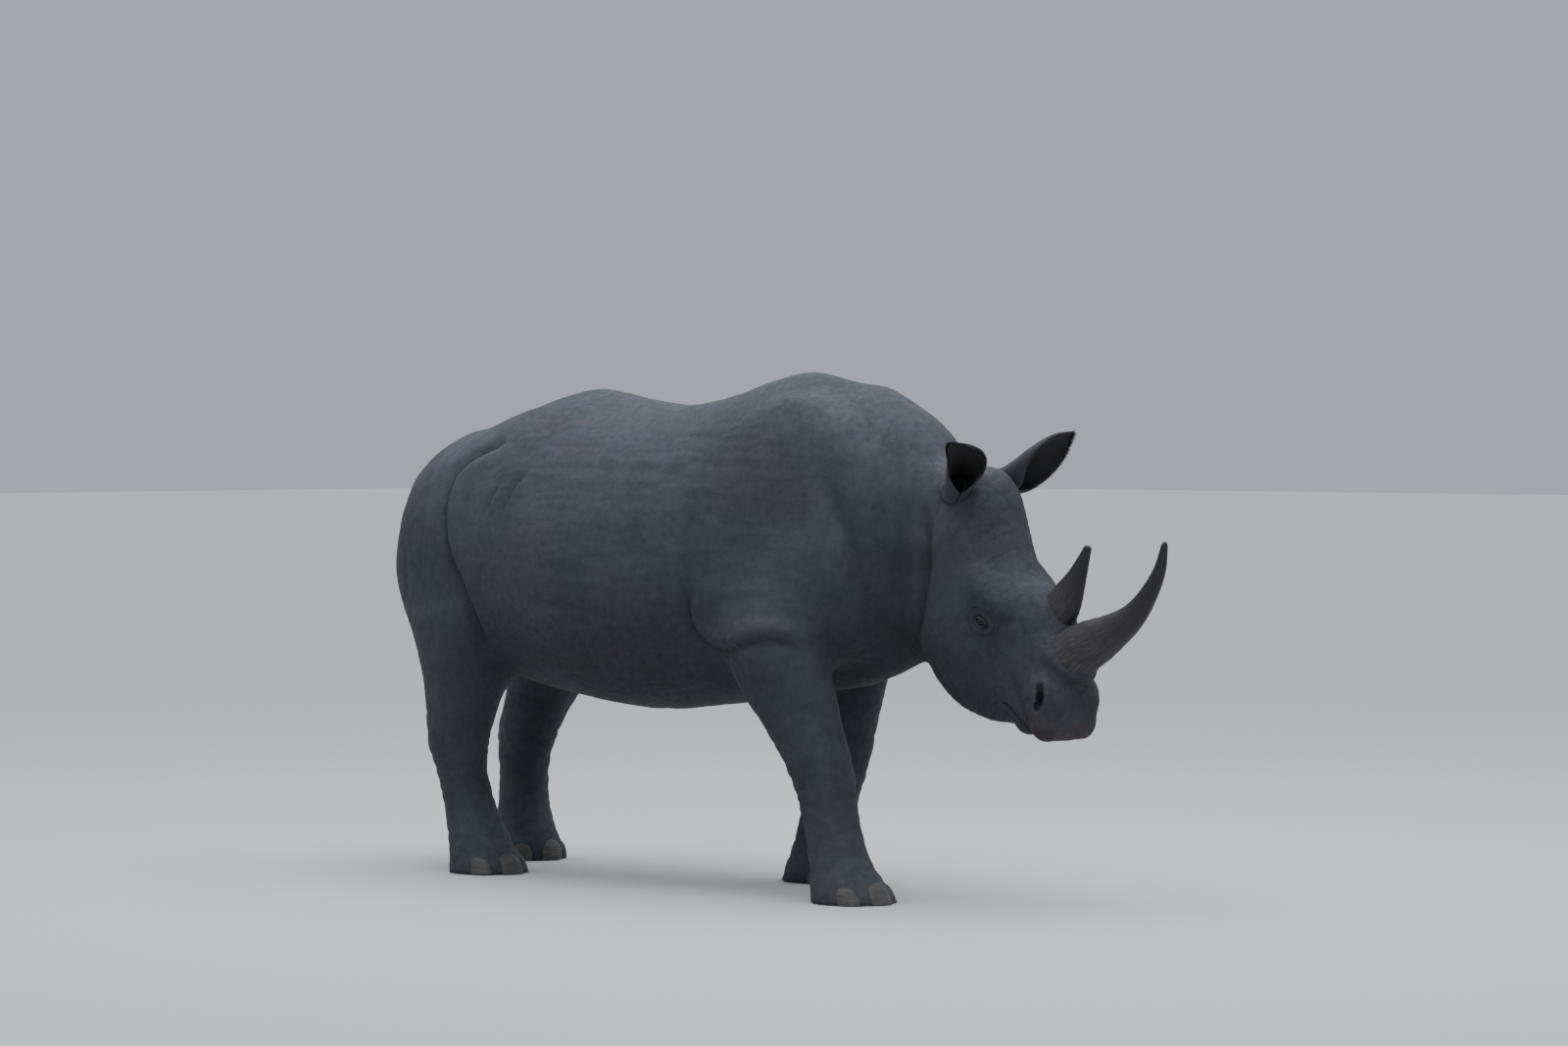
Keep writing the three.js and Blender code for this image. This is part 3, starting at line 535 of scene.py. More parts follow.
@dataclass(frozen=True)
class Body:
    """The whole animal as one solid field."""

    head: Head = Head()
    tail: Tail = Tail()
    openings: Openings = Openings()
    loft: Loft = Loft(
        top=Curve((-1300, 1390), (-1100, 1540), (-880, 1630), (-650, 1698), (-430, 1746),
                  (-180, 1710), (50, 1688), (300, 1722), (500, 1780), (650, 1800), (850, 1763),
                  (1000, 1740), (1150, 1668), (1220, 1622), (1280, 1558), (1400, 1385), (1500, 1300)),
        bottom=Curve((-1300, 900), (-1050, 800), (-650, 680), (-180, 612), (50, 612), (500, 665),
                     (850, 712), (1000, 750), (1150, 805), (1280, 850), (1500, 960)),
        half=Curve((-1300, 250), (-1050, 325), (-650, 450), (-180, 522), (50, 512), (300, 462),
                   (650, 350), (850, 305), (1000, 278), (1150, 240), (1500, 165)),
        level=Curve((-1300, 1200), (-880, 1170), (-180, 1065), (300, 1080), (650, 1150),
                    (1000, 1200), (1500, 1230)),
        upper=Curve((-1300, 2), (-430, 1.75), (50, 1.9), (650, 1.65), (1150, 1.8), (1500, 2)),
        lower=Curve((-1300, 2), (0, 2.2), (850, 2.1), (1150, 1.65), (1500, 1.6)),
    )
    ends: Triple = (-1080.0, 1420.0, 80.0)
    rump: Mass = Mass((-1000, 0, 1195), (298, 318, 392), 60)
    walk: dict[Side, float] = field(default_factory=lambda: {Side.RIGHT: 35.0, Side.LEFT: -15.0})
    paired: tuple[Mass, ...] = (
        Mass((-880, 195, 1160), (300, 205, 360), 110),
        Mass((-1040, 150, 1060), (200, 165, 290), 90),
        Mass((760, 185, 1300), (330, 150, 400), 150, tilt=-12, walks=True),
        Mass((860, 235, 1030), (220, 140, 210), 120, tilt=25, walks=True),
        Mass((590, 280, 965), (195, 125, 175), 100, walks=True),
    )

    def distance(self, p: Array) -> Array:
        """Returns about how far each point is outside the animal, less than zero inside."""
        return np.maximum(self.openings.cut(self.flesh(p), p), -p[:, 2])

    def flesh(self, p: Array) -> Array:
        """Measures the distance before the head's openings are cut.

        Args:
            p: The points.

        Returns:
            About the distance, less than zero inside.
        """
        rear, front, blend = self.ends
        ends = np.maximum(p[:, 0] - front, rear - p[:, 0])
        d = greater(self.loft.distance(*p.T), ends, blend)
        d = lesser(d, self.rump.distance(p, np.array(self.rump.at)), self.rump.blend)
        for side in (Side.RIGHT, Side.LEFT):
            for mass in self.paired:
                stride = self.walk[side] if mass.walks else 0.0
                middle = np.array([mass.at[0] + stride, side * mass.at[1], mass.at[2]])
                d = lesser(d, mass.distance(p, middle), mass.blend)
        for leg in (FORELEG, HINDLEG):
            for side in (Side.RIGHT, Side.LEFT):
                d = lesser(d, leg.distance(p, side), LEG_BLEND)
        d = lesser(d, self.head.distance(p), HEAD_BLEND)
        return lesser(d, self.tail.distance(p), TAIL_BLEND)


# ------------ nets over the field


def slope_of(distance: Field, p: Array, reach: float = 2.0) -> Array:
    """Finds the field's slope from four readings round each point.

    Args:
        distance: The field.
        p: The points.
        reach: How far out the readings are taken.

    Returns:
        One slope vector to a point.
    """
    slope = np.zeros_like(p)
    for corner in ((1, -1, -1), (-1, -1, 1), (-1, 1, -1), (1, 1, 1)):
        step = np.array(corner, float)
        slope += step * distance(p + step * reach)[:, None]
    return slope / (4 * reach)


FLATTEST = 0.05  # least square of the slope that a step is divided by


def settle(distance: Field, p: Array, passes: int = 3, limit: float = 25.0) -> Array:
    """Moves points straight onto the field's surface.

    Args:
        distance: The field.
        p: The points.
        passes: How many times they are moved.
        limit: The longest move in one pass.

    Returns:
        The moved points.
    """
    for _ in range(passes):
        slope = slope_of(distance, p)
        step = -slope * (distance(p) / np.maximum((slope**2).sum(axis=1), FLATTEST))[:, None]
        length = np.linalg.norm(step, axis=1, keepdims=True)
        p = p + step * np.minimum(1, limit / np.maximum(length, TINY))
    return p


def net_over(distance: Field, low: Array, high: Array, step: float) -> tuple[Array, Array]:
    """Draws a net over the field's surface.

    Each grid cell that the surface crosses has one vertex, at the mean of the crossings on its
    edges, and each grid edge that it crosses has one face, joining the four cells there.

    Args:
        distance: The field.
        low: The lowest corner of the grid's box.
        high: The highest corner, outside the body as the lowest is.
        step: The side of a cell.

    Returns:
        The vertices and the four vertex numbers of each face.
    """
    counts = [int(math.ceil((b - a) / step)) + 1 for a, b in zip(low, high)]
    axes = [a + step * np.arange(n) for a, n in zip(low, counts)]
    values = np.empty(counts)
    plane = np.stack(np.meshgrid(axes[1], axes[2], indexing="ij"), axis=-1).reshape(-1, 2)
    for i, x in enumerate(axes[0]):
        p = np.column_stack([np.full(len(plane), x), plane])
        values[i] = distance(p).reshape(counts[1:])
    inside = values < 0
    total = np.zeros([n - 1 for n in counts], int)
    for corner in np.ndindex(2, 2, 2):
        total += inside[tuple(slice(c, n - 1 + c) for c, n in zip(corner, counts))]
    cells = np.argwhere((total > 0) & (total < 8))
    number = np.full(total.shape, -1)
    number[tuple(cells.T)] = np.arange(len(cells))
    mean = np.zeros((len(cells), 3))
    crossings = np.zeros(len(cells))
    for corner in np.ndindex(2, 2, 2):
        for axis in range(3):
            if corner[axis]:
                continue
            end = np.array(corner)
            end[axis] = 1
            a = values[tuple((cells + corner).T)]
            b = values[tuple((cells + end).T)]
            crossed = (a < 0) != (b < 0)
            at = np.repeat(np.array([corner], float), len(cells), axis=0)
            at[:, axis] += np.where(crossed, a / np.where(crossed, a - b, 1), 0)
            mean[crossed] += at[crossed]
            crossings[crossed] += 1
    vertices = (cells + mean / crossings[:, None]) * step + np.array(low)
    faces = []
    for axis in range(3):
        p, q = (axis + 1) % 3, (axis + 2) % 3
        first = tuple(slice(0, -1) if i == axis else slice(None) for i in range(3))
        second = tuple(slice(1, None) if i == axis else slice(None) for i in range(3))
        edges = np.argwhere(inside[first] != inside[second])
        corners = []
        for back_p, back_q in ((1, 1), (0, 1), (0, 0), (1, 0)):
            cell = edges.copy()
            cell[:, p] -= back_p
            cell[:, q] -= back_q
            corners.append(number[tuple(cell.T)])
        face = np.stack(corners, axis=1)
        outward = inside[tuple(edges.T)]
        face[~outward] = face[~outward][:, ::-1]
        faces.append(face)
    return vertices, np.concatenate(faces)


def new_piece(
    name: str, vertices: Array, faces: list | Array, smooth: bool = True
) -> Piece:
    """Makes a new object in the scene.

    Args:
        name: The object's name.
        vertices: One point to a row, in metres in the row's frame.
        faces: Vertex numbers of each face, turned so that it points outwards.
        smooth: Whether the faces are shaded smooth.

    Returns:
        The object.
    """
    mesh = bpy.data.meshes.new(name)
    rows = faces.tolist() if isinstance(faces, np.ndarray) else faces
    mesh.from_pydata(np.asarray(vertices, float).tolist(), [], rows)
    mesh.polygons.foreach_set("use_smooth", np.full(len(mesh.polygons), smooth))
    mesh.update()
    piece = bpy.data.objects.new(name, mesh)
    bpy.context.scene.collection.objects.link(piece)
    return piece


def to_row(p: Array) -> Array:
    """Returns points of the field, in millimetres, in the row's frame, in metres."""
    return (np.asarray(p, float) - np.array([MID_LENGTH_X, 0, 0])) * MM


# ------------ relief of the hide


class Noise:
    """Smooth random values over space, about -1 to 1.

    Each corner of a unit lattice has a random slope; a point's value blends the eight slopes
    of its cell, each read at the point's offset from that corner.
    """

    count: int = 256  # how many slopes there are before they repeat
    gain: float = 1.6  # brings the blend of slopes to about -1 to 1

    def __init__(self, seed: int) -> None:
        """Draws the lattice's slopes.

        Args:
            seed: What the random draws start from.
        """
        rng = np.random.default_rng(seed)
        self.order = rng.permutation(self.count)
        self.slopes = unit(rng.normal(size=(self.count, 3)))

    def __call__(self, p: Array) -> Array:
        """Reads the noise.

        Args:
            p: The points, in units of the lattice.

        Returns:
            The value at each point.
        """
        cell = np.floor(p).astype(int)
        offset = p - cell
        fade = offset**3 * (offset * (offset * 6 - 15) + 10)
        total = np.zeros(len(p))
        for corner in np.ndindex(2, 2, 2):
            at = (cell + corner) % self.count
            pick = self.order[(self.order[at[:, 0]] + at[:, 1]) % self.count]
            pick = self.order[(pick + at[:, 2]) % self.count]
            weight = np.prod(np.where(corner, fade, 1 - fade), axis=1)
            total += weight * ((offset - corner) * self.slopes[pick]).sum(axis=1)
        return total * self.gain

    def over(self, *parts: Array) -> Array:
        """Reads the noise over a grid.

        Args:
            parts: The grid's x, y and z.

        Returns:
            The value at each point of the grid.
        """
        grid = stacked(*parts)
        return self(grid.reshape(-1, 3)).reshape(grid.shape[:-1])


def rolling(p: Array, *waves: tuple[int, float, float]) -> Array:
    """Adds up noises.

    Args:
        p: The points.
        waves: The seed, the length of one wave and the height of each noise.

    Returns:
        The sum at each point.
    """
    return sum(Noise(seed)(p / length) * height for seed, length, height in waves)


@dataclass(frozen=True)
class Fold:
    """A fold of the hide, drawn on the side view.

    Across the line the hide sinks by the depth over the width, as a bell curve, and on the
    line's left, seen along it, a lip of the given rise swells over the lip's width. The
    hollow is also painted darker, as shade.
    """

    line: Points  # x and z
    depth: float
    width: float
    lip: float = 0.0
    lip_width: float = 40.0
    fade: float = 0.25  # share of the length over which each end dies away
    shift: float = 0.0  # how far the left side's fold lies ahead of the right's
    # how strong the painted shade in the fold's hollow is
    dark: float = 1.0
    steps: int = 72
    reach: Pair = (3.0, 2.5)  # how many widths, and lip widths, it is felt over
    lip_place: float = 0.6  # the lip's middle, past the fold's edge, in lip widths
    dark_share: float = 0.55  # how much of the fold's width takes the painted shade
    facing: Pair = (0.1, 0.5)  # how far a place looks sideways to be folded

    def press(self, p: Array, out: Array) -> tuple[Array, Array]:
        """Finds how the fold shapes the hide.

        Args:
            p: Points on the hide.
            out: The outward direction at each point.

        Returns:
            How far each point moves outwards, and how much painted shade it gets in the fold, from 0 to
            1.
        """
        move = np.zeros(len(p))
        inside = np.zeros(len(p))
        for side in (Side.RIGHT, Side.LEFT):
            shift = self.shift if side == Side.LEFT else 0.0
            line = spline(self.line, self.steps) + np.array([shift, 0])
            reach = self.width * self.reach[0] + self.lip_width * self.reach[1]
            low, high = line.min(axis=0) - reach, line.max(axis=0) + reach
            near = (p[:, 1] * side > 0) & (p[:, 0] > low[0]) & (p[:, 0] < high[0])
            near &= (p[:, 2] > low[1]) & (p[:, 2] < high[1])
            if not near.any():
                continue
            q = p[near][:, [0, 2]]
            gap = q[:, None, :] - line[None, :, :]
            nearest = np.argmin((gap**2).sum(axis=2), axis=1)
            gap = gap[np.arange(len(q)), nearest]
            run = unit(np.gradient(line, axis=0))[nearest]
            along = nearest / (len(line) - 1)
            left = run[:, 0] * gap[:, 1] - run[:, 1] * gap[:, 0]
            far = np.linalg.norm(gap, axis=1)
            span = np.where(left < 0, -far, far)
            ends = smooth_step(0, self.fade, along) * smooth_step(0, self.fade, 1 - along)
            weight = ends * smooth_step(*self.facing, out[near, 1] * side)
            swell = bell(span - self.width - self.lip_width * self.lip_place, self.lip_width)
            move[near] += weight * (self.lip * swell - self.depth * bell(span, self.width))
            # painted shade along the fold's hollow
            inside[near] += weight * self.dark * bell(span, self.width * self.dark_share)
        return move, inside


@dataclass(frozen=True)
class Wrinkles:
    """Fine creases that run one way, in one part of the hide.

    Noise is read on stretched coordinates, bent by slower noise; where it passes through
    zero the hide is creased, and the crease is sharp because the fall-off is a high power.
    """

    scale: Triple  # the length of one wave each way, mm
    depth: float
    seed: int
    sharp: float = 5.0
    bend: float = 0.5
    slow_wave: float = 190.0  # the length of one wave of what bends the creases
    slow_seed: int = 50  # added to the seed
    slow_shifts: Triple = (0.0, 7.3, 13.1)
    narrow: float = 1.5  # how fast a crease is left as the noise departs from zero

    def press(self, p: Array) -> Array:
        """Finds how deep the creases are.

        Args:
            p: Points on the hide.

        Returns:
            How deep each point is pressed in, from 0 to the depth.
        """
        slow = Noise(self.seed + self.slow_seed)
        warp = np.column_stack([slow(p / self.slow_wave + shift) for shift in self.slow_shifts])
        value = np.abs(Noise(self.seed)(p / np.array(self.scale) + warp * self.bend))
        return self.depth * np.clip(1 - value * self.narrow, 0, 1) ** self.sharp


@dataclass(frozen=True)
class Hide:
    """Every fold and wrinkle of the hide, and the masks that its colour follows: painted shade in its
    creases and underneath, dust with painted sky light on top, and the lip.
    """

    head: HeadFrame = HeadFrame()
    folds: tuple[Fold, ...] = (
        # the barrel's rear edge, lapping over the thigh, and the creases beside it
        Fold(((-590, 1573), (-695, 1540), (-770, 1500), (-816, 1441), (-825, 1368), (-811, 1286),
              (-782, 1193), (-740, 1115), (-685, 1035), (-645, 947), (-628, 854), (-640, 750)),
             26, 25, lip=14, lip_width=52, fade=0.14),
        Fold(((-365, 1495), (-420, 1425), (-455, 1355), (-475, 1280), (-474, 1205)), 10, 15,
             lip=6, lip_width=26, fade=0.35, dark=0.6),
        Fold(((-506, 1443), (-539, 1382), (-559, 1325), (-556, 1262)), 7, 14, lip=4, lip_width=22,
             fade=0.4, dark=0.5),
        Fold(((-640, 1545), (-560, 1500), (-640, 1440), (-690, 1380)), 3, 16, fade=0.45, dark=0.2),
        Fold(((-1130, 1390), (-1085, 1240), (-1030, 1080), (-1010, 930)), 8, 22, lip=5, fade=0.35,
             dark=0.5),
        # the hollow behind the shoulder and a fainter one between two ribs
        Fold(((412, 1480), (419, 1300), (414, 1200), (421, 1100), (418, 1003), (410, 920),
              (395, 850)), 15, 62, fade=0.35, dark=0.3),
        Fold(((222, 1330), (231, 1200), (236, 1060)), 6, 48, fade=0.45, dark=0.25),
        # the back of the upper foreleg, running on as the crease above the elbow
        Fold(((448, 1090), (430, 1000), (438, 915), (505, 850), (600, 836), (717, 862), (800, 884),
              (870, 888), (930, 872), (985, 838)), 17, 17, lip=13, lip_width=34, fade=0.14,
             shift=-20),
        # the front edge of the shoulder blade, the hollow of the neck and the cheek's rear edge
        Fold(((1117, 915), (1147, 1016), (1136, 1094), (1119, 1162), (1099, 1220), (1063, 1298),
              (1031, 1376), (991, 1473), (968, 1541)), 17, 36, lip=9, lip_width=52, fade=0.3,
             dark=0.45),
        Fold(((1225, 1440), (1245, 1300), (1240, 1180), (1215, 1060), (1180, 950)), 20, 78,
             fade=0.35, dark=0.35),
        Fold(((1200, 850), (1276, 938), (1322, 1057), (1346, 1175), (1346, 1290), (1325, 1370)),
             26, 27, fade=0.25, dark=0.8),
        # raised lines along the flank
        Fold(((-358, 1485), (-63, 1492), (165, 1488), (380, 1479)), -3.5, 15, dark=0),
        Fold(((-381, 1432), (-199, 1436), (-31, 1422)), -3.0, 14, dark=0),
        Fold(((186, 1373), (299, 1394), (448, 1405), (532, 1396)), -3.5, 14, dark=0),
        Fold(((503, 1034), (698, 1049), (905, 1048)), -4, 16, dark=0),
    )

    # where each part of the hide starts and where it is full
    head_down: Ramp = (-40, 120)  # down the face
    head_ahead: Ramp = (1180, 1330)  # along the body
    leg_below: Ramp = (760, 620)
    neck_ahead: Ramp = (930, 1050)
    rump_behind: Ramp = (-560, -760)
    steep: Ramp = (0.96, 0.5)  # by how far the hide looks up or down
    above_sole: Ramp = (0, 24)  # where the relief starts
    body_lumps: tuple[tuple[int, float, float], ...] = ((3, 210, 3.4), (4, 88, 1.5))
    head_lumps: tuple[tuple[int, float, float], ...] = ((36, 95, 2.4), (37, 40, 0.8))
    # noise of the dust patches; press also lightens faces that look up, as painted light from the sky
    dust_and_painted_top_light: tuple[tuple[int, float, float], ...] = ((21, 320, 0.5), (22, 70, 0.35))
    knee: Pair = (400, 130)  # the middle height of its creases and their reach
    ankle: Ramp = (190, 110)
    lumps_above: Ramp = (10, 120)
    lip_front: Pair = (948, -214)  # u and v of the pinkish lip
    lip_reach: Ramp = (105, 35)
    lip_spots: tuple[int, float, float] = (23, 40, 0.9)
    ring_gap: float = 17.0  # from one ring round the eye to the next
    ring_bend: tuple[int, float, float] = (31, 45, 5)
    rings_from: Ramp = (30, 44)
    rings_to: Ramp = (105, 48)
    forehead: Ramp = (-130, -30)
    muzzle: Ramp = (600, 700)
    jaw: Ramp = (-230, -330)
    nostril_rim: Pair = (25, 9)  # how far off the nostril, and its width
    furrow_width: float = 9.0
    eye_hollow: tuple[float, float, float, float] = (590, -160, 52, 60)  # u, v and its reaches
    cleft: Triple = (850, -205, -0.34)  # u, v and slope of its line
    cleft_width: float = 13.0
    cleft_from: Ramp = (720, 790)
    cleft_to: Ramp = (935, 890)

    def press(self, p: Array, out: Array) -> tuple[Array, dict[str, Array]]:
        """Finds how all the folds and wrinkles shape and mark the hide.

        The folds' moves are added up, then soft lumps, then each kind of wrinkle times the mask
        of the part where it grows, then the head's own relief.

        Args:
            p: Points on the hide.
            out: The outward direction at each point.

        Returns:
            How far each point moves outwards, and the masks by name.
        """
        x, _, z = p.T
        usv = self.head.to_head(p)
        u, _, v = usv.T
        on_head = smooth_step(*self.head_down, u) * smooth_step(*self.head_ahead, x)
        on_leg = smooth_step(*self.leg_below, z) * (1 - on_head)
        on_neck = smooth_step(*self.neck_ahead, x) * (1 - on_head) * (1 - on_leg)
        on_rump = smooth_step(*self.rump_behind, x) * (1 - on_leg)
        on_flank = (1 - on_head) * (1 - on_leg) * (1 - on_neck) * (1 - on_rump)
        steep = smooth_step(*self.steep, np.abs(out[:, 2]))
        move = np.zeros(len(p))
        # crease gathers the painted shade of the folds, wrinkles and openings
        crease = np.zeros(len(p))
        for fold in self.folds:
            step, inside = fold.press(p, out)
            move += step
            crease = np.maximum(crease, inside)
        move += rolling(p, *self.body_lumps) * (1 - on_head) * smooth_step(*self.lumps_above, z)
        joint = bell(z - self.knee[0], self.knee[1]) + 0.8 * smooth_step(*self.ankle, z)
        for wrinkles, weight in (
            (Wrinkles((380, 90, 34), 2.6, 11), on_flank * (0.3 + 0.7 * steep)),
            (Wrinkles((150, 60, 17), 1.1, 16), on_flank * steep),
            (Wrinkles((70, 90, 150), 2.2, 12), on_rump),
            (Wrinkles((60, 80, 300), 3.6, 13), on_neck * steep),
            (Wrinkles((170, 170, 50), 6.0, 14, sharp=2.2), on_leg * np.clip(0.3 + joint, 0, 1)),
            (Wrinkles((60, 60, 60), 1.6, 15), on_leg + 0.3 * on_flank),
        ):
            sunk = wrinkles.press(p) * weight
            move -= sunk
            # the wrinkles' hollows get a little painted shade
            crease = np.maximum(crease, 0.3 * sunk / wrinkles.depth)
        step, inside = self.press_head(usv, on_head)
        move = (move + step) * smooth_step(*self.above_sole, z)
        crease = np.clip(np.maximum(crease, inside), 0, 1)
        off_lip = np.hypot(u - self.lip_front[0], v - self.lip_front[1])
        lip = smooth_step(*self.lip_reach, off_lip) * on_head
        lip *= np.clip(0.75 + rolling(p, self.lip_spots), 0, 1)
        # dust patches with painted sky light: lighter on faces that look up, less on the head
        dust_and_painted_top_light = np.clip(0.5 + rolling(p, *self.dust_and_painted_top_light), 0, 1)
        dust_and_painted_top_light *= smooth_step(-0.15, 0.65, out[:, 2]) * (1 - 0.6 * on_head)
        shade = smooth_step(0.30, -0.60, out[:, 2]) * (1 - 0.5 * on_leg)
        return move, {"crease": crease, "lip": lip, "dust_and_painted_top_light": dust_and_painted_top_light, "shade": shade}

    def press_head(self, usv: Array, weight: Array) -> tuple[Array, Array]:
        """Finds the head's own relief.

        Rings run round the eye, and wrinkles cross the forehead, muzzle, cheek and jaw, each
        times its mask. Bell curves make the nostril's rim, the hollow in front of the eye, the
        line from the nostril to the mouth's corner and the furrow at that corner.

        Args:
            usv: Points in the head's frame.
            weight: How much each point belongs to the head.

        Returns:
            How far each point moves outwards, and its mask of painted shade in creases and openings.
        """
        u, s, v = usv.T
        folded = HeadFrame.folded(usv)
        far = gap_to([EYE_PLACE], folded)
        wave = (far + rolling(usv, self.ring_bend)) / self.ring_gap
        rings = np.clip(np.cos(2 * np.pi * wave), 0, 1) ** 3
        total = 2.4 * rings * smooth_step(*self.rings_from, far) * smooth_step(*self.rings_to, far)
        muzzle = smooth_step(*self.muzzle, u)
        for wrinkles, mask in (
            (Wrinkles((42, 120, 90), 1.9, 32), smooth_step(*self.forehead, v)),
            (Wrinkles((36, 60, 44), 1.7, 33), muzzle),
            (Wrinkles((60, 60, 110), 1.1, 34), 1 - muzzle),
            (Wrinkles((44, 90, 120), 1.5, 35), smooth_step(*self.jaw, v)),
        ):
            total += wrinkles.press(usv) * mask
        total *= weight
        hollow_u, hollow_v, reach_u, reach_v = self.eye_hollow
        hollow = bell(u - hollow_u, reach_u) * bell(v - hollow_v, reach_v) * (np.abs(s) > 60)
        cleft_u, cleft_v, slope = self.cleft
        cleft = bell(v - cleft_v - slope * (u - cleft_u), self.cleft_width) * (np.abs(s) > 50)
        cleft *= smooth_step(*self.cleft_from, u) * smooth_step(*self.cleft_to, u)
        gap = gap_to(spline(NOSTRIL, 12), folded)
        furrow = bell(gap_to(spline(MOUTH_CORNER, 16), folded), self.furrow_width)
        rim = bell(gap - self.nostril_rim[0], self.nostril_rim[1])
        relief = 5 * rim - 9 * hollow - 5 * cleft - 4.5 * furrow
        move = (rolling(usv, *self.head_lumps) + relief) * weight - total
        # painted shade in the rings round the eye, the wrinkles and the cleft
        inside = np.clip(total / 6.0 + 0.6 * cleft * weight, 0, 1)
        # painted shade in the ear pits, the nostril, the mouth's parting and the furrow at its corner
        pits = [smooth_step(48, 26, gap_to([place], usv)) for place in EAR_ROOTS.values()]
        parting = gap_to(spline(MOUTH, 40), folded)
        masks = (smooth_step(16, 8, gap), *pits, 0.9 * smooth_step(15, 5, parting), 0.7 * furrow)
        for mask in masks:
            inside = np.maximum(inside, mask)
        return move, inside


# ------------ the skin


@dataclass
class Skin:
    """The hide: one net over the whole body, finer where the detail is."""

    body: Body
    hide: Hide = field(default_factory=Hide)
    step: float = 14.4
    low: Triple = (-1424.0, -612.0, -36.0)
    high: Triple = (2040.0, 612.0, 1860.0)
    sole: float = 0.5  # what lies lower is the sole, and the rest stays over it
    evenings: int = 3
    detail_from: Pair = (60.0, 1330.0)  # the least u and x of the finer net
    round_eye: float = 66.0
    nostril: Triple = (872.0, 122.0, -124.0)
    round_nostril: float = 62.0
    mouth: Pair = (845.0, -266.0)  # u and v
    round_mouth: float = 130.0
    mouth_height: Pair = (-330.0, -215.0)

    def make(self, material: Material) -> Piece:
        """Builds the skin and presses its folds in.

        Args:
            material: The hide.

        Returns:
            The skin's object.
        """
        vertices, faces = net_over(self.body.distance, self.low, self.high, self.step)
        vertices = self.even_out(vertices, faces)
        vertices, faces = self.refine(vertices, faces)
        vertices = settle(self.body.distance, vertices, passes=4, limit=8)
        out = unit(slope_of(self.body.distance, vertices, 4.0))
        move, masks = self.hide.press(vertices, out)
        ground = vertices[:, 2] < self.sole
        vertices = vertices + out * np.where(ground, 0, move)[:, None]
        vertices[:, 2] = np.where(ground, 0, np.maximum(vertices[:, 2], 0.8 * self.sole))
        piece = new_piece("skin", to_row(vertices), faces)
        for name, mask in masks.items():
            store(piece.data, name, mask)
        dress(piece, material, "skin")
        return piece

    def even_out(self, vertices: Array, faces: Array) -> Array:
        """Spreads the net's vertices evenly over the surface.

        Each vertex moves half way to the mean of its neighbours and back onto the field.

        Args:
            vertices: The net's vertices.
            faces: Its four-sided faces.

        Returns:
            The vertices' new places.
        """
        pairs = np.concatenate([faces[:, [i, (i + 1) % 4]] for i in range(4)])
        ends = np.concatenate([pairs, pairs[:, ::-1]])
        count = np.bincount(ends[:, 0], minlength=len(vertices))
        for _ in range(self.evenings):
            mean = np.stack([
                np.bincount(ends[:, 0], vertices[ends[:, 1], i], len(vertices)) for i in range(3)
            ], axis=1) / count[:, None]
            flat = vertices[:, 2] < 4 * self.sole
            moved = np.where(flat[:, None], vertices, (vertices + mean) / 2)
            vertices = settle(self.body.distance, moved, passes=1)
        return vertices

    def refine(self, vertices: Array, faces: Array) -> tuple[Array, list]:
        """Splits the net's faces in four where the detail is.

        Args:
            vertices: The net's vertices.
            faces: Its four-sided faces.

        Returns:
            The vertices and faces of the finer net.
        """
        mesh = bmesh.new()
        for vertex in vertices:
            mesh.verts.new(vertex)
        mesh.verts.ensure_lookup_table()
        for face in faces:
            mesh.faces.new([mesh.verts[i] for i in face])
        for chosen in (self.is_detailed, self.is_finest):
            mesh.faces.ensure_lookup_table()
            places = np.array([face.calc_center_median() for face in mesh.faces])
            picked = np.flatnonzero(chosen(places))
            edges = {edge for i in picked for edge in mesh.faces[i].edges}
            bmesh.ops.subdivide_edges(mesh, edges=list(edges), cuts=1, use_grid_fill=True)
            wide = [face for face in mesh.faces if len(face.verts) > 4]
            bmesh.ops.triangulate(mesh, faces=wide)
        finer = np.array([vertex.co for vertex in mesh.verts])
        mesh.verts.index_update()
        loops = [[vertex.index for vertex in face.verts] for face in mesh.faces]
        mesh.free()
        return finer, loops

    def is_detailed(self, p: Array) -> Array:
        """Returns which places lie on the head."""
        usv = self.body.head.frame.to_head(p)
        return (usv[:, 0] > self.detail_from[0]) & (p[:, 0] > self.detail_from[1])

    def is_finest(self, p: Array) -> Array:
        """Picks the places round an eye, a nostril or the mouth.

        Args:
            p: The places.

        Returns:
            Whether each is one of them.
        """
        folded = HeadFrame.folded(self.body.head.frame.to_head(p))
        close = gap_to([EYE_PLACE], folded) < self.round_eye
        close |= gap_to([self.nostril], folded) < self.round_nostril
        u, _, v = folded.T
        lowest, highest = self.mouth_height
        mouth = np.hypot(u - self.mouth[0], (v - self.mouth[1]) * 2.0) < self.round_mouth
        return close | (mouth & (v < highest) & (v > lowest))


def store(mesh: Mesh, name: str, values: Array) -> None:
    """Stores one value for each vertex as a named attribute."""
    layer = mesh.attributes.new(name, "FLOAT", "POINT")
    layer.data.foreach_set("value", np.asarray(values, np.float32).ravel())


def dress(piece: Piece, material: Material, slot: str, *nodes: str) -> None:
    """Gives a piece its material and body, and hides the frame's nodes that it stands for.

    Args:
        piece: The piece.
        material: What it is made of.
        slot: Not used.
        nodes: The frame's nodes that it stands for, if any.
    """
    piece.data.materials.append(material)
    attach(piece, "root")
    if nodes:
        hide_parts(*nodes)
    LOG.info("%s: %d faces", piece.name, len(piece.data.polygons))


# ------------ surfaces of two parameters


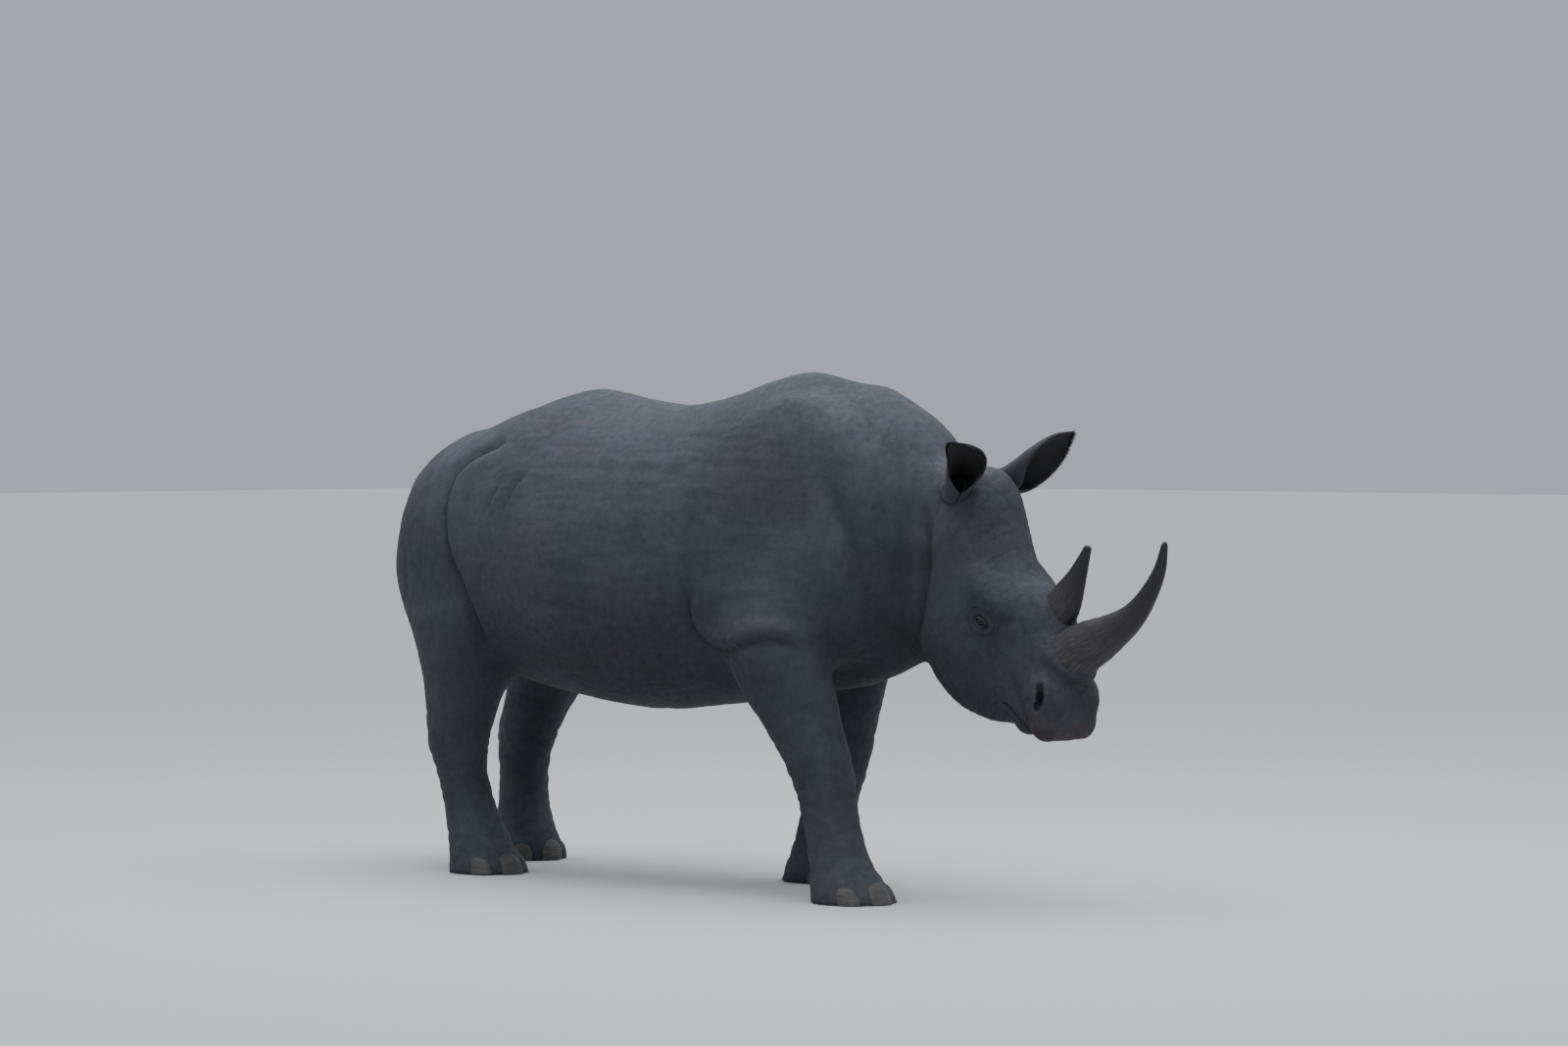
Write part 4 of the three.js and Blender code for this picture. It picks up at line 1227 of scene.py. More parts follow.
def grid_faces(rows: int, columns: int) -> Array:
    """Lists the four-sided faces of rings that follow each other.

    Args:
        rows: How many rings.
        columns: How many vertices in a ring.

    Returns:
        The four vertex numbers of each face.
    """
    i, j = np.meshgrid(np.arange(rows - 1), np.arange(columns), indexing="ij")
    a = i * columns + j
    b = i * columns + (j + 1) % columns
    return np.stack([a, b, b + columns, a + columns], axis=-1).reshape(-1, 4)


def shell(front: Array, back: Array) -> tuple[Array, list]:
    """Joins two sheets, back to back, into one closed shell.

    Args:
        front: A grid of points.
        back: A grid of as many points behind it.

    Returns:
        The points, one to a row, and the vertex numbers of each face.
    """
    rows, columns = front.shape[:2]
    both = np.concatenate([front, back[:, ::-1]], axis=1)
    width = 2 * columns
    faces = grid_faces(rows, width).tolist()
    for base in (0, (rows - 1) * width):
        faces += [[base + j, base + j + 1, base + width - 2 - j, base + width - 1 - j]
                  for j in range(columns - 1)]
    return both.reshape(-1, 3), faces


def face_outwards(piece: Piece) -> None:
    """Merges a piece's doubled vertices and turns all its faces outwards.

    Args:
        piece: The piece, whose mesh is changed.
    """
    mesh = bmesh.new()
    mesh.from_mesh(piece.data)
    bmesh.ops.remove_doubles(mesh, verts=mesh.verts, dist=1e-6)
    bmesh.ops.recalc_face_normals(mesh, faces=mesh.faces)
    mesh.to_mesh(piece.data)
    mesh.free()


@dataclass(frozen=True)
class Horn:
    """A horn of packed fibres: an oval carried along a bent line, ribbed low down and worn
    smooth at the tip."""

    name: str
    line: Points
    radii: Points  # fore and aft, sideways
    rows: int
    columns: int
    ribs: int
    rib_depth: float
    square: float  # how square the section is low down
    head: HeadFrame = HeadFrame()
    steps: int = 400
    crowding: float = 1.35  # how much closer the rings stand at the tip
    squareness: float = 2.6
    growth: tuple[int, float] = (15, 0.010)  # growth rings and their height
    blunt: float = 0.028  # the share of the length that the rounded tip takes

    def make(self, material: Material) -> None:
        """Builds the horn.

        A ring's point lies at the line's point plus the oval's cosine part across the line and its
        sine part sideways; ribs and growth rings scale the radius by a few hundredths.

        Args:
            material: The horn's finish.
        """
        table = spline(np.column_stack([self.line, self.radii]), self.steps)
        t = 1 - np.linspace(1, 0, self.rows) ** self.crowding
        even = np.linspace(0, 1, self.steps)
        at = np.stack([np.interp(t, even, column) for column in table.T], axis=1)
        run = unit(np.gradient(at[:, :2], axis=0))
        side = np.stack([run[:, 1], -run[:, 0]], axis=1)
        angle = np.linspace(0, 2 * np.pi, self.columns, endpoint=False)
        c, s = np.cos(angle)[None, :], np.sin(angle)[None, :]
        up = t[:, None]
        low = smooth_step(0.62, 0.0, up)
        power = self.squareness
        squared = (np.abs(c) ** power + np.abs(s) ** power) ** (-1 / power)
        shape = 1 + (squared - 1) * low * self.square
        wander = Noise(61).over(c * 3, s * 3, up * 4)
        ribs = np.cos(self.ribs * angle[None, :] + 5 * wander) * self.rib_depth * low
        count, height = self.growth
        rings = height * np.cos(2 * np.pi * (up * count + 0.7 * wander)) * smooth_step(0.8, 0.1, up)
        tip = np.sqrt(1 - np.clip((up - 1 + self.blunt) / self.blunt, 0, 1) ** 2)
        grow = shape * (1 + ribs + rings + 0.03 * wander * low) * tip
        u = at[:, 0:1] + side[:, 0:1] * at[:, 2:3] * c * grow
        v = at[:, 1:2] + side[:, 1:2] * at[:, 2:3] * c * grow
        points = self.head.to_body(stacked(u, at[:, 3:4] * s * grow, v).reshape(-1, 3))
        faces = grid_faces(self.rows, self.columns).tolist()
        faces.append(list(range(self.columns)))
        piece = new_piece("fibre_" + self.name, to_row(points), faces)
        store(piece.data, "up", np.repeat(t, self.columns))
        layer = piece.data.attributes.new("fibre", "FLOAT_VECTOR", "POINT")
        layer.data.foreach_set("vector", stacked(c, s, up).astype(np.float32).ravel())
        face_outwards(piece)
        dress(piece, material, "horn", self.name)


FRONT_HORN = Horn(
    name="horn_front",
    line=((782, -30), (791, 40), (812, 110), (830, 175), (846, 263), (841, 350), (806, 464),
          (746, 550)),
    radii=((92, 94), (84, 81), (76, 69), (63, 58), (48, 45), (35, 35), (22, 22), (10, 10)),
    rows=150, columns=128, ribs=46, rib_depth=0.012, square=0.5,
)
REAR_HORN = Horn(
    name="horn_rear",
    line=((634, 5), (629, 60), (614, 118), (590, 187), (547, 284)),
    radii=((74, 58), (67, 50), (55, 40), (34, 27), (12, 11)),
    rows=96, columns=96, ribs=38, rib_depth=0.014, square=0.3,
)


@dataclass(frozen=True)
class Ear:
    """An ear: a tube at the root that opens into a pointed cup.

    A point of the middle sheet lies at the root plus its share of the length along the ear,
    plus the half width times the sine of its angle across, less the cup's depth times the
    cosine. The two faces stand half the thickness to each side, thin at the rim.
    """

    side: Side
    root: Triple
    reach: Triple
    opening: Triple
    bow: Triple  # how far the middle line bends off half way out
    skew: float  # how much more of that bend lies towards the root
    half: Curve
    head: HeadFrame = HeadFrame()
    hollow: Curve = Curve((0, 52), (0.12, 46), (0.25, 48), (0.42, 48), (0.6, 38), (0.8, 22),
                          (0.92, 11), (1, 2))
    wrap: Curve = Curve((0, 178), (0.16, 176), (0.28, 144), (0.38, 117), (0.52, 104), (0.7, 95),
                        (1, 86))
    thick: float = 13.0
    sunk: float = 0.14
    rows: int = 64
    columns: int = 64

    def axes(self) -> tuple[Array, Array, Array, float]:
        """Finds the ear's own directions.

        Returns:
            The directions along, across and out of the opening, and the length.
        """
        reach = np.array(self.reach, float)
        along = reach / np.linalg.norm(reach)
        opening = np.array(self.opening, float)
        opening = unit(opening - along * (opening @ along))
        return along, np.cross(along, opening), opening, float(np.linalg.norm(reach))

    def sheet(self, t: Array, angle: Array) -> Array:
        """Finds points of the middle sheet.

        Args:
            t: Shares of the length.
            angle: Angles across the cup, in radians.

        Returns:
            The points.
        """
        along, across, opening, length = self.axes()
        root = self.head.to_body(self.root) - along * length * self.sunk
        rise = length * (1 + self.sunk) * t
        crimp = 1 + 0.03 * np.cos(angle * 5) * smooth_step(0.5, 0.1, t)
        # the rim is drawn back a little towards the tip, so that the outline is a leaf
        draw = 10 * (np.abs(angle) / 1.7) ** 2 * smooth_step(0.75, 1, t)
        bend = 4 * t * (1 - t) * (1 + self.skew * (1 - 2 * t))
        p = root + (rise - draw)[..., None] * along + bend[..., None] * np.array(self.bow)
        p += (self.half(t) * crimp * np.sin(angle))[..., None] * across
        return p - (self.hollow(t) * crimp * np.cos(angle))[..., None] * opening

    def make(self, material: Material) -> None:
        """Builds the ear's blade.

        Args:
            material: The ear's hide.
        """
        t = np.linspace(0, 1, self.rows)[:, None]
        share = np.linspace(-1, 1, self.columns)[None, :]
        angle = np.radians(self.wrap(t)) * share
        sheet = self.sheet(np.broadcast_to(t, angle.shape), angle)
        normal = unit(np.cross(np.gradient(sheet, axis=0), np.gradient(sheet, axis=1)))
        rim = np.sqrt(np.clip(1 - np.abs(share) ** 6, 0, 1)) * smooth_step(1.04, 0.8, t)
        rough = Noise(71).over(t * 9, share * 3, t * 0)
        thick = (self.thick * (0.22 + 0.78 * rim) + 2.4 * rough * rim) / 2
        stand = normal * thick[..., None]
        points, faces = shell(sheet + stand, sheet - stand)
        name = f"ear_{self.side.word}"
        piece = new_piece("blade_of_" + name, to_row(points), faces)
        deep = np.concatenate([np.zeros_like(angle), np.ones_like(angle)], axis=1)
        inner = deep if self.inner_is_second(sheet, normal) else 1 - deep
        beside = np.concatenate([share, share[:, ::-1]], axis=1)
        edge = smooth_step(0.3, 0.5, t) * smooth_step(0.8, 1, np.abs(beside))
        for label, mask in (
            # the inside of the cup gets painted shade, deepest along its middle
            ("inner", inner * (0.25 + 0.75 * np.cos(beside * np.pi / 2))),
            ("root", np.broadcast_to(smooth_step(0.42, 0.12, t), deep.shape)),
            ("hairy", np.maximum(smooth_step(0.62, 0.78, t), edge)),
        ):
            store(piece.data, label, mask)
        face_outwards(piece)
        dress(piece, material, "ear_skin", name)

    def inner_is_second(self, sheet: Array, normal: Array) -> bool:
        """Tells which face is the one inside the cup.

        Args:
            sheet: The middle sheet's points.
            normal: The direction in which the first face stands off it.

        Returns:
            Whether it is the second face.
        """
        _, _, opening, _ = self.axes()
        middle = self.columns // 2
        return float(normal[self.rows // 2, middle] @ opening) < 0

    def fringe(self, material: Material, hairs: int = 1500) -> None:
        """Builds the hair along the rim, longest at the tip and on the upper half.

        Args:
            material: The hair.
            hairs: How many hairs.
        """
        rng = np.random.default_rng(80 + self.side)
        t = rng.uniform(0.3, 1.0, hairs) ** 0.8
        edge = rng.choice([-1.0, 1.0], hairs)
        angle = np.radians(self.wrap(t)) * edge * rng.uniform(0.94, 1.0, hairs)
        root = self.sheet(t, angle)
        inner = self.sheet(t, angle * 0.86)
        along, across, opening, _ = self.axes()
        out = unit(root - inner) + along * (0.7 + 0.9 * smooth_step(0.8, 1, t))[:, None]
        out += rng.normal(0, 0.30, (hairs, 3))
        length = rng.uniform(5, 12, hairs) * (0.55 + 0.75 * smooth_step(0.35, 0.95, t))
        flat = np.stack([0.25 + 0.25 * edge * (1.2 - t) + 0.25, 0.05 + 0.9 * t], axis=1)
        name = f"ear_fringe_{self.side.word}"
        tufts = Tufts(root, unit(out), length, rng.uniform(0.5, 1.0, hairs), along * 0.25, flat)
        piece = tufts.make(name, rng)
        dress(piece, material, "hair")


RIGHT_EAR = Ear(
    Side.RIGHT, EAR_ROOTS[Side.RIGHT], reach=(119, -158, 144), opening=(0.75, -0.75, -0.5),
    bow=(60, 6, 0), skew=-0.5,
    half=Curve((0, 48), (0.12, 38), (0.23, 45), (0.38, 58), (0.58, 62), (0.78, 53), (0.92, 30),
               (1, 5)),
)
LEFT_EAR = Ear(
    Side.LEFT, EAR_ROOTS[Side.LEFT], reach=(192, 154, 154), opening=(1, 0.12, -0.5),
    bow=(30, 0, -20), skew=0.75,
    half=Curve((0, 56), (0.12, 49), (0.25, 63), (0.42, 81), (0.58, 84), (0.72, 73), (0.83, 51),
               (0.92, 29), (1, 5)),
)


@dataclass(frozen=True)
class Tufts:
    """Thin tapered locks of hair, each three-sided, bent as it grows."""

    roots: Array
    ways: Array
    lengths: Array
    widths: Array
    droop: Array  # added to the way, in full at the tip
    flat: Array  # each root's place on the unwrap of what carries it
    rings: int = 4
    patch: float = 0.003

    def make(self, name: str, rng: np.random.Generator) -> Piece:
        """Builds all the locks as one piece with its OFBake map.

        A lock's ring at share q of its length stands at the root plus the way times the length and
        q, plus the droop times q squared, and its width is that of the root times one less q to the
        power 0.6.

        Args:
            name: The piece's name.
            rng: Where the random draws come from.

        Returns:
            The locks' object.
        """
        count = len(self.roots)
        q = np.linspace(0, 1, self.rings + 1)
        way = unit(self.ways)
        across = unit(np.cross(way, unit(rng.normal(size=(count, 3)))))
        other = np.cross(way, across)
        middle = self.roots[:, None] + way[:, None] * (self.lengths[:, None] * q)[..., None]
        middle += (self.lengths[:, None] * q**2)[..., None] * np.asarray(self.droop)
        turn = np.arange(3) * 2 * np.pi / 3
        ring = np.cos(turn)[:, None] * across[:, None] + np.sin(turn)[:, None] * other[:, None]
        thin = self.widths[:, None] * (1 - q[:-1]) ** 0.6
        body = middle[:, :-1, None] + ring[:, None] * thin[..., None, None]
        points = np.concatenate([body.reshape(count, -1, 3), middle[:, -1:]], axis=1)
        each = self.rings * 3 + 1
        faces = []
        for row in range(self.rings - 1):
            faces += [[row * 3 + j, row * 3 + (j + 1) % 3, row * 3 + 3 + (j + 1) % 3, row * 3 + 3 + j]
                      for j in range(3)]
        top = (self.rings - 1) * 3
        faces += [[top + j, top + (j + 1) % 3, each - 1] for j in range(3)]
        faces.append([2, 1, 0])
        every = [[i * each + k for k in face] for i in range(count) for face in faces]
        piece = new_piece(name, to_row(points.reshape(-1, 3)), every)
        spot = np.stack(np.meshgrid(np.arange(3) / 3, q[:-1], indexing="xy"), -1).reshape(-1, 2)
        spot = np.concatenate([spot, [[0.5, 1.0]]])
        flat = (self.flat[:, None] + spot[None] * self.patch).reshape(-1, 2)
        loops = np.empty(len(piece.data.loops), int)
        piece.data.loops.foreach_get("vertex_index", loops)
        layer = piece.data.uv_layers.new(name="OFBake")
        layer.data.foreach_set("uv", flat[loops].ravel())
        return piece


@dataclass(frozen=True)
class Eye:
    """An eye and its lids.

    The ball is a sphere with a cornea that stands a little proud. The lids are one ring of
    skin: from the margin on the ball it rolls out over a sphere just larger than the ball and
    passes smoothly onto the hide, with two folds on the way.
    """

    side: Side
    body: Body
    radius: float = 20.0
    half_length: float = 19.0
    half_height: float = 10.0
    slant: float = 14.0  # degrees that the opening is turned in the plane of the hide
    look: Triple = (0.12, 0, 0.05)  # how far it looks ahead and up
    ball: tuple[int, int] = (40, 48)  # rings and vertices of the ball
    cornea: Pair = (0.055, 0.42)  # how proud it is, and its reach in radians
    rows: int = 34
    columns: int = 96
    reach: float = 34.0  # how far out the lids run
    thick: float = 0.0015  # in metres
    crinkle: float = 7.0  # the length of one wave of the finest crinkles
    folds: tuple[Pair, ...] = ((0.36, 0.05), (0.63, 0.045))  # places and widths

    def axes(self) -> Array:
        """Finds the eye's own directions.

        Returns:
            The forward, upward and outward directions, as rows.
        """
        out = unit(slope_of(self.body.flesh, self.centre()[None], 10.0)[0] + self.look)
        forward = self.body.head.frame.axes()[0]
        forward = unit(forward - out * (forward @ out))
        up = np.cross(out, forward) * -self.side
        turn = math.radians(self.slant)
        return np.array([forward * math.cos(turn) + up * math.sin(turn),
                         up * math.cos(turn) - forward * math.sin(turn), out])

    def centre(self) -> Array:
        """Returns the ball's middle."""
        return self.body.head.frame.to_body(np.array(EYE_PLACE) * (1, self.side, 1))

    def make_ball(self, material: Material) -> None:
        """Builds the ball, with how far each point is from the line of sight, in radians.

        Args:
            material: The eye's finish.
        """
        polar = np.linspace(0, np.pi, self.ball[0])[:, None]
        angle = np.linspace(0, 2 * np.pi, self.ball[1], endpoint=False)[None, :]
        proud = 1 + self.cornea[0] * bell(polar, self.cornea[1])
        local = stacked(np.sin(polar) * np.cos(angle), np.sin(polar) * np.sin(angle), np.cos(polar))
        local *= (proud * self.radius)[..., None]
        points = local.reshape(-1, 3) @ self.axes() + self.centre()
        name = f"eye_{self.side.word}"
        piece = new_piece("ball_of_" + name, to_row(points), grid_faces(*self.ball))
        store(piece.data, "off_axis", np.broadcast_to(polar, self.ball))
        face_outwards(piece)
        dress(piece, material, "eye", name)

    def make_lids(self, material: Material) -> None:
        """Builds the lids.

        The margin is an almond round the line of sight. Each ring further out is larger, stands on
        a sphere round the ball and passes onto the hide, and bell curves make the roll at the
        margin and the two folds.

        Args:
            material: The hide.
        """
        angle = np.linspace(0, 2 * np.pi, self.columns, endpoint=False)[None, :]
        share = np.linspace(0, 1, self.rows)[:, None]
        c, s = np.cos(angle), np.sin(angle)
        almond = np.abs(s) ** 1.25 * np.sign(s)
        heavy = np.where(s > 0, 0.86, 1.0)  # the upper lid hangs lower
        margin_x, margin_y = self.half_length * c, self.half_height * almond * heavy
        grow = np.clip(share - 0.10, 0, 1) / 0.90
        x = margin_x * (1 + 0.12 * grow) + self.reach * grow * c * 0.86
        y = margin_y * (1 + 0.35 * grow) + self.reach * grow * (s * 0.82 + 0.05)
        ball = self.radius + 1.2 + 3.6 * smooth_step(0.04, 0.2, share)
        flat = np.sqrt(np.clip(ball**2 - x**2 - y**2, 4.0, None))
        tuck = -4.5 * smooth_step(0.10, 0.0, share)
        near = stacked(x, y, flat + tuck).reshape(-1, 3) @ self.axes() + self.centre()
        hide = settle(self.body.flesh, near.copy(), passes=5)
        out = unit(slope_of(self.body.flesh, hide, 4.0))
        merge = smooth_step(0.12, 0.62, share) * np.ones_like(angle)
        stray = Noise(92).over(c * 1.3, s * 1.3, 0 * c)
        place = share + 0.05 * stray * smooth_step(0.15, 0.4, share)
        inner, outer = [bell(place - at, width) for at, width in self.folds]
        roll = 2.6 * bell(share - 0.17, 0.07) + 2.2 * bell(place - 0.48, 0.08)
        upper = 0.55 + 0.75 * smooth_step(-0.3, 0.6, s)
        crinkle = Noise(91).over(x / self.crinkle, y / self.crinkle, 0 * x)
        relief = (roll - 2.8 * inner - 1.8 * outer) * upper + 0.7 * crinkle * merge
        relief -= 3.4 * smooth_step(0.8, 1.0, share)
        merge = merge.reshape(-1, 1)
        points = near * (1 - merge) + hide * merge + out * relief.reshape(-1, 1)
        name = f"lids_{self.side.word}"
        piece = new_piece(name, to_row(points), grid_faces(self.rows, self.columns))
        # painted shade in the lids' two folds and along the margin, stronger on the upper lid
        depth = (inner + 0.8 * outer + 0.9 * smooth_step(0.12, 0.02, share)) * upper
        nowhere = np.zeros(len(points))
        for label, mask in (
            ("crease", np.clip(depth, 0, 1)),
            ("lip", nowhere),
            ("dust_and_painted_top_light", nowhere),
            ("shade", nowhere + 0.3),
        ):
            store(piece.data, label, mask)
        solid = piece.modifiers.new("thickness", "SOLIDIFY")
        solid.thickness = self.thick
        solid.offset = -1
        dress(piece, material, "skin")
        self.turn_out(piece)

    def turn_out(self, piece: Piece) -> None:
        """Turns the lids' faces to look out of the head.

        Args:
            piece: The lids, whose mesh is changed.
        """
        out = self.axes()[2]
        mesh = piece.data
        total = sum((np.array(face.normal) * face.area for face in mesh.polygons), np.zeros(3))
        if float(total @ out) < 0:
            mesh.flip_normals()


@dataclass(frozen=True)
class Toenail:
    """A broad rounded nail at the front of a foot, ridged level with the floor.

    The nail is a shell of two parameters: its outer face bulges from a pointed-oval outline,
    the back is set in the foot, and the lower edge is worn flat just above the floor.
    """

    leg: LegShape
    side: Side
    foot: str
    toe: str
    angle: float
    height: float
    half_width: float
    lowest: float = 3.0
    inset: float = 16.0  # how far the back is set in
    bulge: float = 9.5
    ridges: Pair = (7.5, 0.25)  # how many growth ridges, and their height
    rows: int = 26
    columns: int = 30

    def make(self, material: Material) -> None:
        """Builds the nail on the foot's outline.

        Args:
            material: The nail's finish.
        """
        up = np.linspace(0, 1, self.rows)[:, None]
        across = np.linspace(-1, 1, self.columns)[None, :]
        z = self.lowest + self.height * up
        half = self.half_width * np.sqrt(np.clip(1 - up**2.6, 0.0, 1)) * (0.93 + 0.07 * up)
        x0, y0 = self.leg.middle(z, self.side)
        depth, width = self.leg.depth(z), self.leg.width(z)
        mean = (depth + width) / 2
        turn = math.radians(self.angle) * self.side + half * across / mean
        reach = 1 / np.hypot(np.cos(turn) / depth, np.sin(turn) / width)
        bulge = self.bulge * (1 - np.abs(across) ** 3) * (0.55 + 0.45 * (1 - up)) + 2.0
        count, ridge = self.ridges
        bulge += ridge * np.cos(2 * np.pi * up * count)
        lift = bulge * np.sqrt(np.clip(1 - up**6, 0, 1)) - 3.0 * up**8
        points, faces = shell(
            self.place(x0, y0, z, turn, reach + lift),
            self.place(x0, y0, z, turn, reach - self.inset),
        )
        name = f"nail_{self.foot}_{self.toe}"
        piece = new_piece("toe" + name, to_row(points), faces)
        store(piece.data, "up", np.repeat(up.ravel(), 2 * self.columns))
        face_outwards(piece)
        dress(piece, material, "toenail", name)

    @staticmethod
    def place(x0: Array, y0: Array, z: Array, turn: Array, reach: Array) -> Array:
        """Finds points round the foot.

        Args:
            x0: The foot's middle along the body, at each height.
            y0: The foot's middle across the body.
            z: The heights.
            turn: Directions from the middle, in radians.
            reach: Distances from the middle.

        Returns:
            The points.
        """
        return stacked(x0 + np.cos(turn) * reach, y0 + np.sin(turn) * reach, z)


@dataclass(frozen=True)
class TailTuft:
    """The brush of coarse hair at the tail's end, flattened sideways."""

    tail: Tail = Tail()
    hairs: int = 420
    steps: int = 200
    along: Pair = (0.80, 0.995)  # the share of the tail that carries it
    length: Pair = (120, 185)
    width: Pair = (1.3, 2.6)
    lowest: float = 752.0

    def make(self, material: Material) -> None:
        """Builds the brush: locks start round the last stretch of the tail and hang down.

        Args:
            material: The hair.
        """
        rng = np.random.default_rng(7)
        path = spline(np.column_stack([self.tail.line, self.tail.radii]), self.steps)
        pick = rng.uniform(*self.along, self.hairs)
        even = np.linspace(0, 1, self.steps)
        x, z, r = np.stack([np.interp(pick, even, column) for column in path.T])
        angle = rng.uniform(0, 2 * np.pi, self.hairs)
        fore = np.where(rng.uniform(size=self.hairs) < 0.6, np.sign(np.cos(angle)), 1) * np.cos(angle)
        out = np.stack([np.abs(fore) * np.sign(np.cos(angle)), 0.55 * np.sin(angle), 0 * fore], axis=1)
        roots = np.stack([x, 0 * x, z], axis=1) + unit(out) * (r * 0.9)[:, None]
        ways = out * 0.24 + np.array([0, 0, -1.0]) + rng.normal(0, 0.045, (self.hairs, 3))
        ways[:, 1] *= 0.6
        length = np.minimum(rng.uniform(*self.length, self.hairs), z - self.lowest)
        flat = np.stack([angle / (2 * np.pi) * 0.9 + 0.05, pick * 0.9], axis=1)
        droop = (out * (-0.12, -0.10, 0))[:, None]
        width = rng.uniform(*self.width, self.hairs)
        tufts = Tufts(roots, unit(ways), length, width, droop, flat, rings=6)
        piece = tufts.make("tail_brush", rng)
        dress(piece, material, "hair", "tail_tuft")


# ------------ finishes


class Paint:
    """A small helper that lays out one node tree."""

    def __init__(self, tree: Tree) -> None:
        """Keeps the tree that nodes are added to."""
        self.tree = tree

    def node(self, kind: str, **settings: object) -> Node:
        """Adds a node.

        Args:
            kind: The node's type.
            settings: Its properties by name.

        Returns:
            The node.
        """
        node = self.tree.nodes.new(kind)
        for name, value in settings.items():
            setattr(node, name, value)
        return node

    def join(self, start: Socket, end: Socket) -> None:
        """Links two sockets."""
        self.tree.links.new(start, end)

    def math(self, operation: str, a: object, b: object = None, clamp: bool = False) -> Socket:
        """Adds a sum on sockets or numbers.

        Args:
            operation: The sum's name.
            a: The first value.
            b: The second value.
            clamp: Whether the result is held between 0 and 1.

        Returns:
            The result.
        """
        node = self.node("ShaderNodeMath", operation=operation, use_clamp=clamp)
        for socket, value in zip(node.inputs, (a, b)):
            self.feed(value, socket)
        return node.outputs[0]

    def feed(self, value: object, socket: Socket) -> None:
        """Gives a socket its value.

        Args:
            value: A socket to link it to, or what it is set to.
            socket: The socket.
        """
        if isinstance(value, Socket):
            self.join(value, socket)
        elif value is not None:
            socket.default_value = value

    def mix(self, share: object, a: object, b: object) -> Socket:
        """Mixes two colours.

        Args:
            share: How much of the second colour there is.
            a: The first colour.
            b: The second colour.

        Returns:
            The mixed colour.
        """
        node = self.node("ShaderNodeMix", data_type="RGBA")
        self.feed(share, node.inputs[0])
        self.feed(a, node.inputs[6])
        self.feed(b, node.inputs[7])
        return node.outputs[2]

    def scale(
        self, value: object, low: float, high: float, out_low: float = 0.0, out_high: float = 1.0
    ) -> Socket:
        """Carries a value from one range to another, smoothly, and holds it inside it.

        Args:
            value: The value.
            low: Where the first range starts.
            high: Where it ends.
            out_low: Where the second range starts.
            out_high: Where it ends.

        Returns:
            The carried value.
        """
        node = self.node("ShaderNodeMapRange", interpolation_type="SMOOTHSTEP")
        for socket, number in zip(node.inputs, (value, low, high, out_low, out_high)):
            self.feed(number, socket)
        return node.outputs[0]

    def noise(
        self, place: object, scale: float, detail: float, rough: float = 0.55
    ) -> Socket:
        """Adds a noise.

        Args:
            place: Where it is read.
            scale: How fine it is.
            detail: How many finer layers it has.
            rough: How strong each finer layer is.

        Returns:
            Its value.
        """
        node = self.node("ShaderNodeTexNoise")
        self.feed(place, node.inputs["Vector"])
        node.inputs["Scale"].default_value = scale
        node.inputs["Detail"].default_value = detail
        node.inputs["Roughness"].default_value = rough
        return node.outputs["Fac"]

    def stretched(self, place: object, scale: Triple) -> Socket:
        """Scales each axis of a place.

        Args:
            place: The place.
            scale: The three factors.

        Returns:
            The scaled place.
        """
        node = self.node("ShaderNodeMapping")
        self.feed(place, node.inputs["Vector"])
        node.inputs["Scale"].default_value = scale
        return node.outputs[0]

    def layered(self, colour: object, *layers: tuple[object, float, Colour]) -> object:
        """Lays colours over a colour, one after the other.

        Args:
            colour: The colour below.
            layers: The mask of each colour, how much of it is used, and the colour.

        Returns:
            The mixed colour.
        """
        for mask, share, above in layers:
            colour = self.mix(self.math("MULTIPLY", mask, share), colour, above)
        return colour

    def attribute(self, name: str) -> Socket:
        """Returns the value of a named attribute."""
        return self.node("ShaderNodeAttribute", attribute_name=name).outputs["Fac"]

    def place(self) -> Socket:
        """Returns the piece's own coordinates."""
        return self.node("ShaderNodeTexCoord").outputs["Object"]


def new_material(name: str) -> tuple[Material, Paint, Node]:
    """Makes a material.

    Args:
        name: Its name.

    Returns:
        The material, the helper for its nodes and its shader.
    """
    material = bpy.data.materials.new(name)
    material.use_nodes = True
    return material, Paint(material.node_tree), material.node_tree.nodes["Principled BSDF"]


def bump(paint: Paint, shader: Node, height: object, strength: float, distance: float) -> None:
    """Feeds a height into a shader's normal.

    Args:
        paint: The helper for the material's nodes.
        shader: The shader.
        height: The height.
        strength: How much of it is used, from 0 to 1.
        distance: What a height of one stands for, in metres.
    """
    node = paint.node("ShaderNodeBump")
    node.inputs["Strength"].default_value = strength
    node.inputs["Distance"].default_value = distance
    paint.feed(height, node.inputs["Height"])
    paint.join(node.outputs[0], shader.inputs["Normal"])


def group_of(
    name: str, inputs: dict[str, tuple[str, object]], outputs: dict[str, str]
) -> tuple[Tree, Paint, Node, Node]:
    """Makes a new shader group.

    Args:
        name: Its name.
        inputs: The socket type and first value of each input, by name.
        outputs: The socket type of each output, by name.

    Returns:
        The group, the helper for its nodes and its two end nodes.
    """
    tree = bpy.data.node_groups.new(name, "ShaderNodeTree")
    for label, (kind, value) in inputs.items():
        socket = tree.interface.new_socket(label, in_out="INPUT", socket_type=kind)
        if value is not None:
            socket.default_value = value
    for label, kind in outputs.items():
        tree.interface.new_socket(label, in_out="OUTPUT", socket_type=kind)
    paint = Paint(tree)
    return tree, paint, paint.node("NodeGroupInput"), paint.node("NodeGroupOutput")


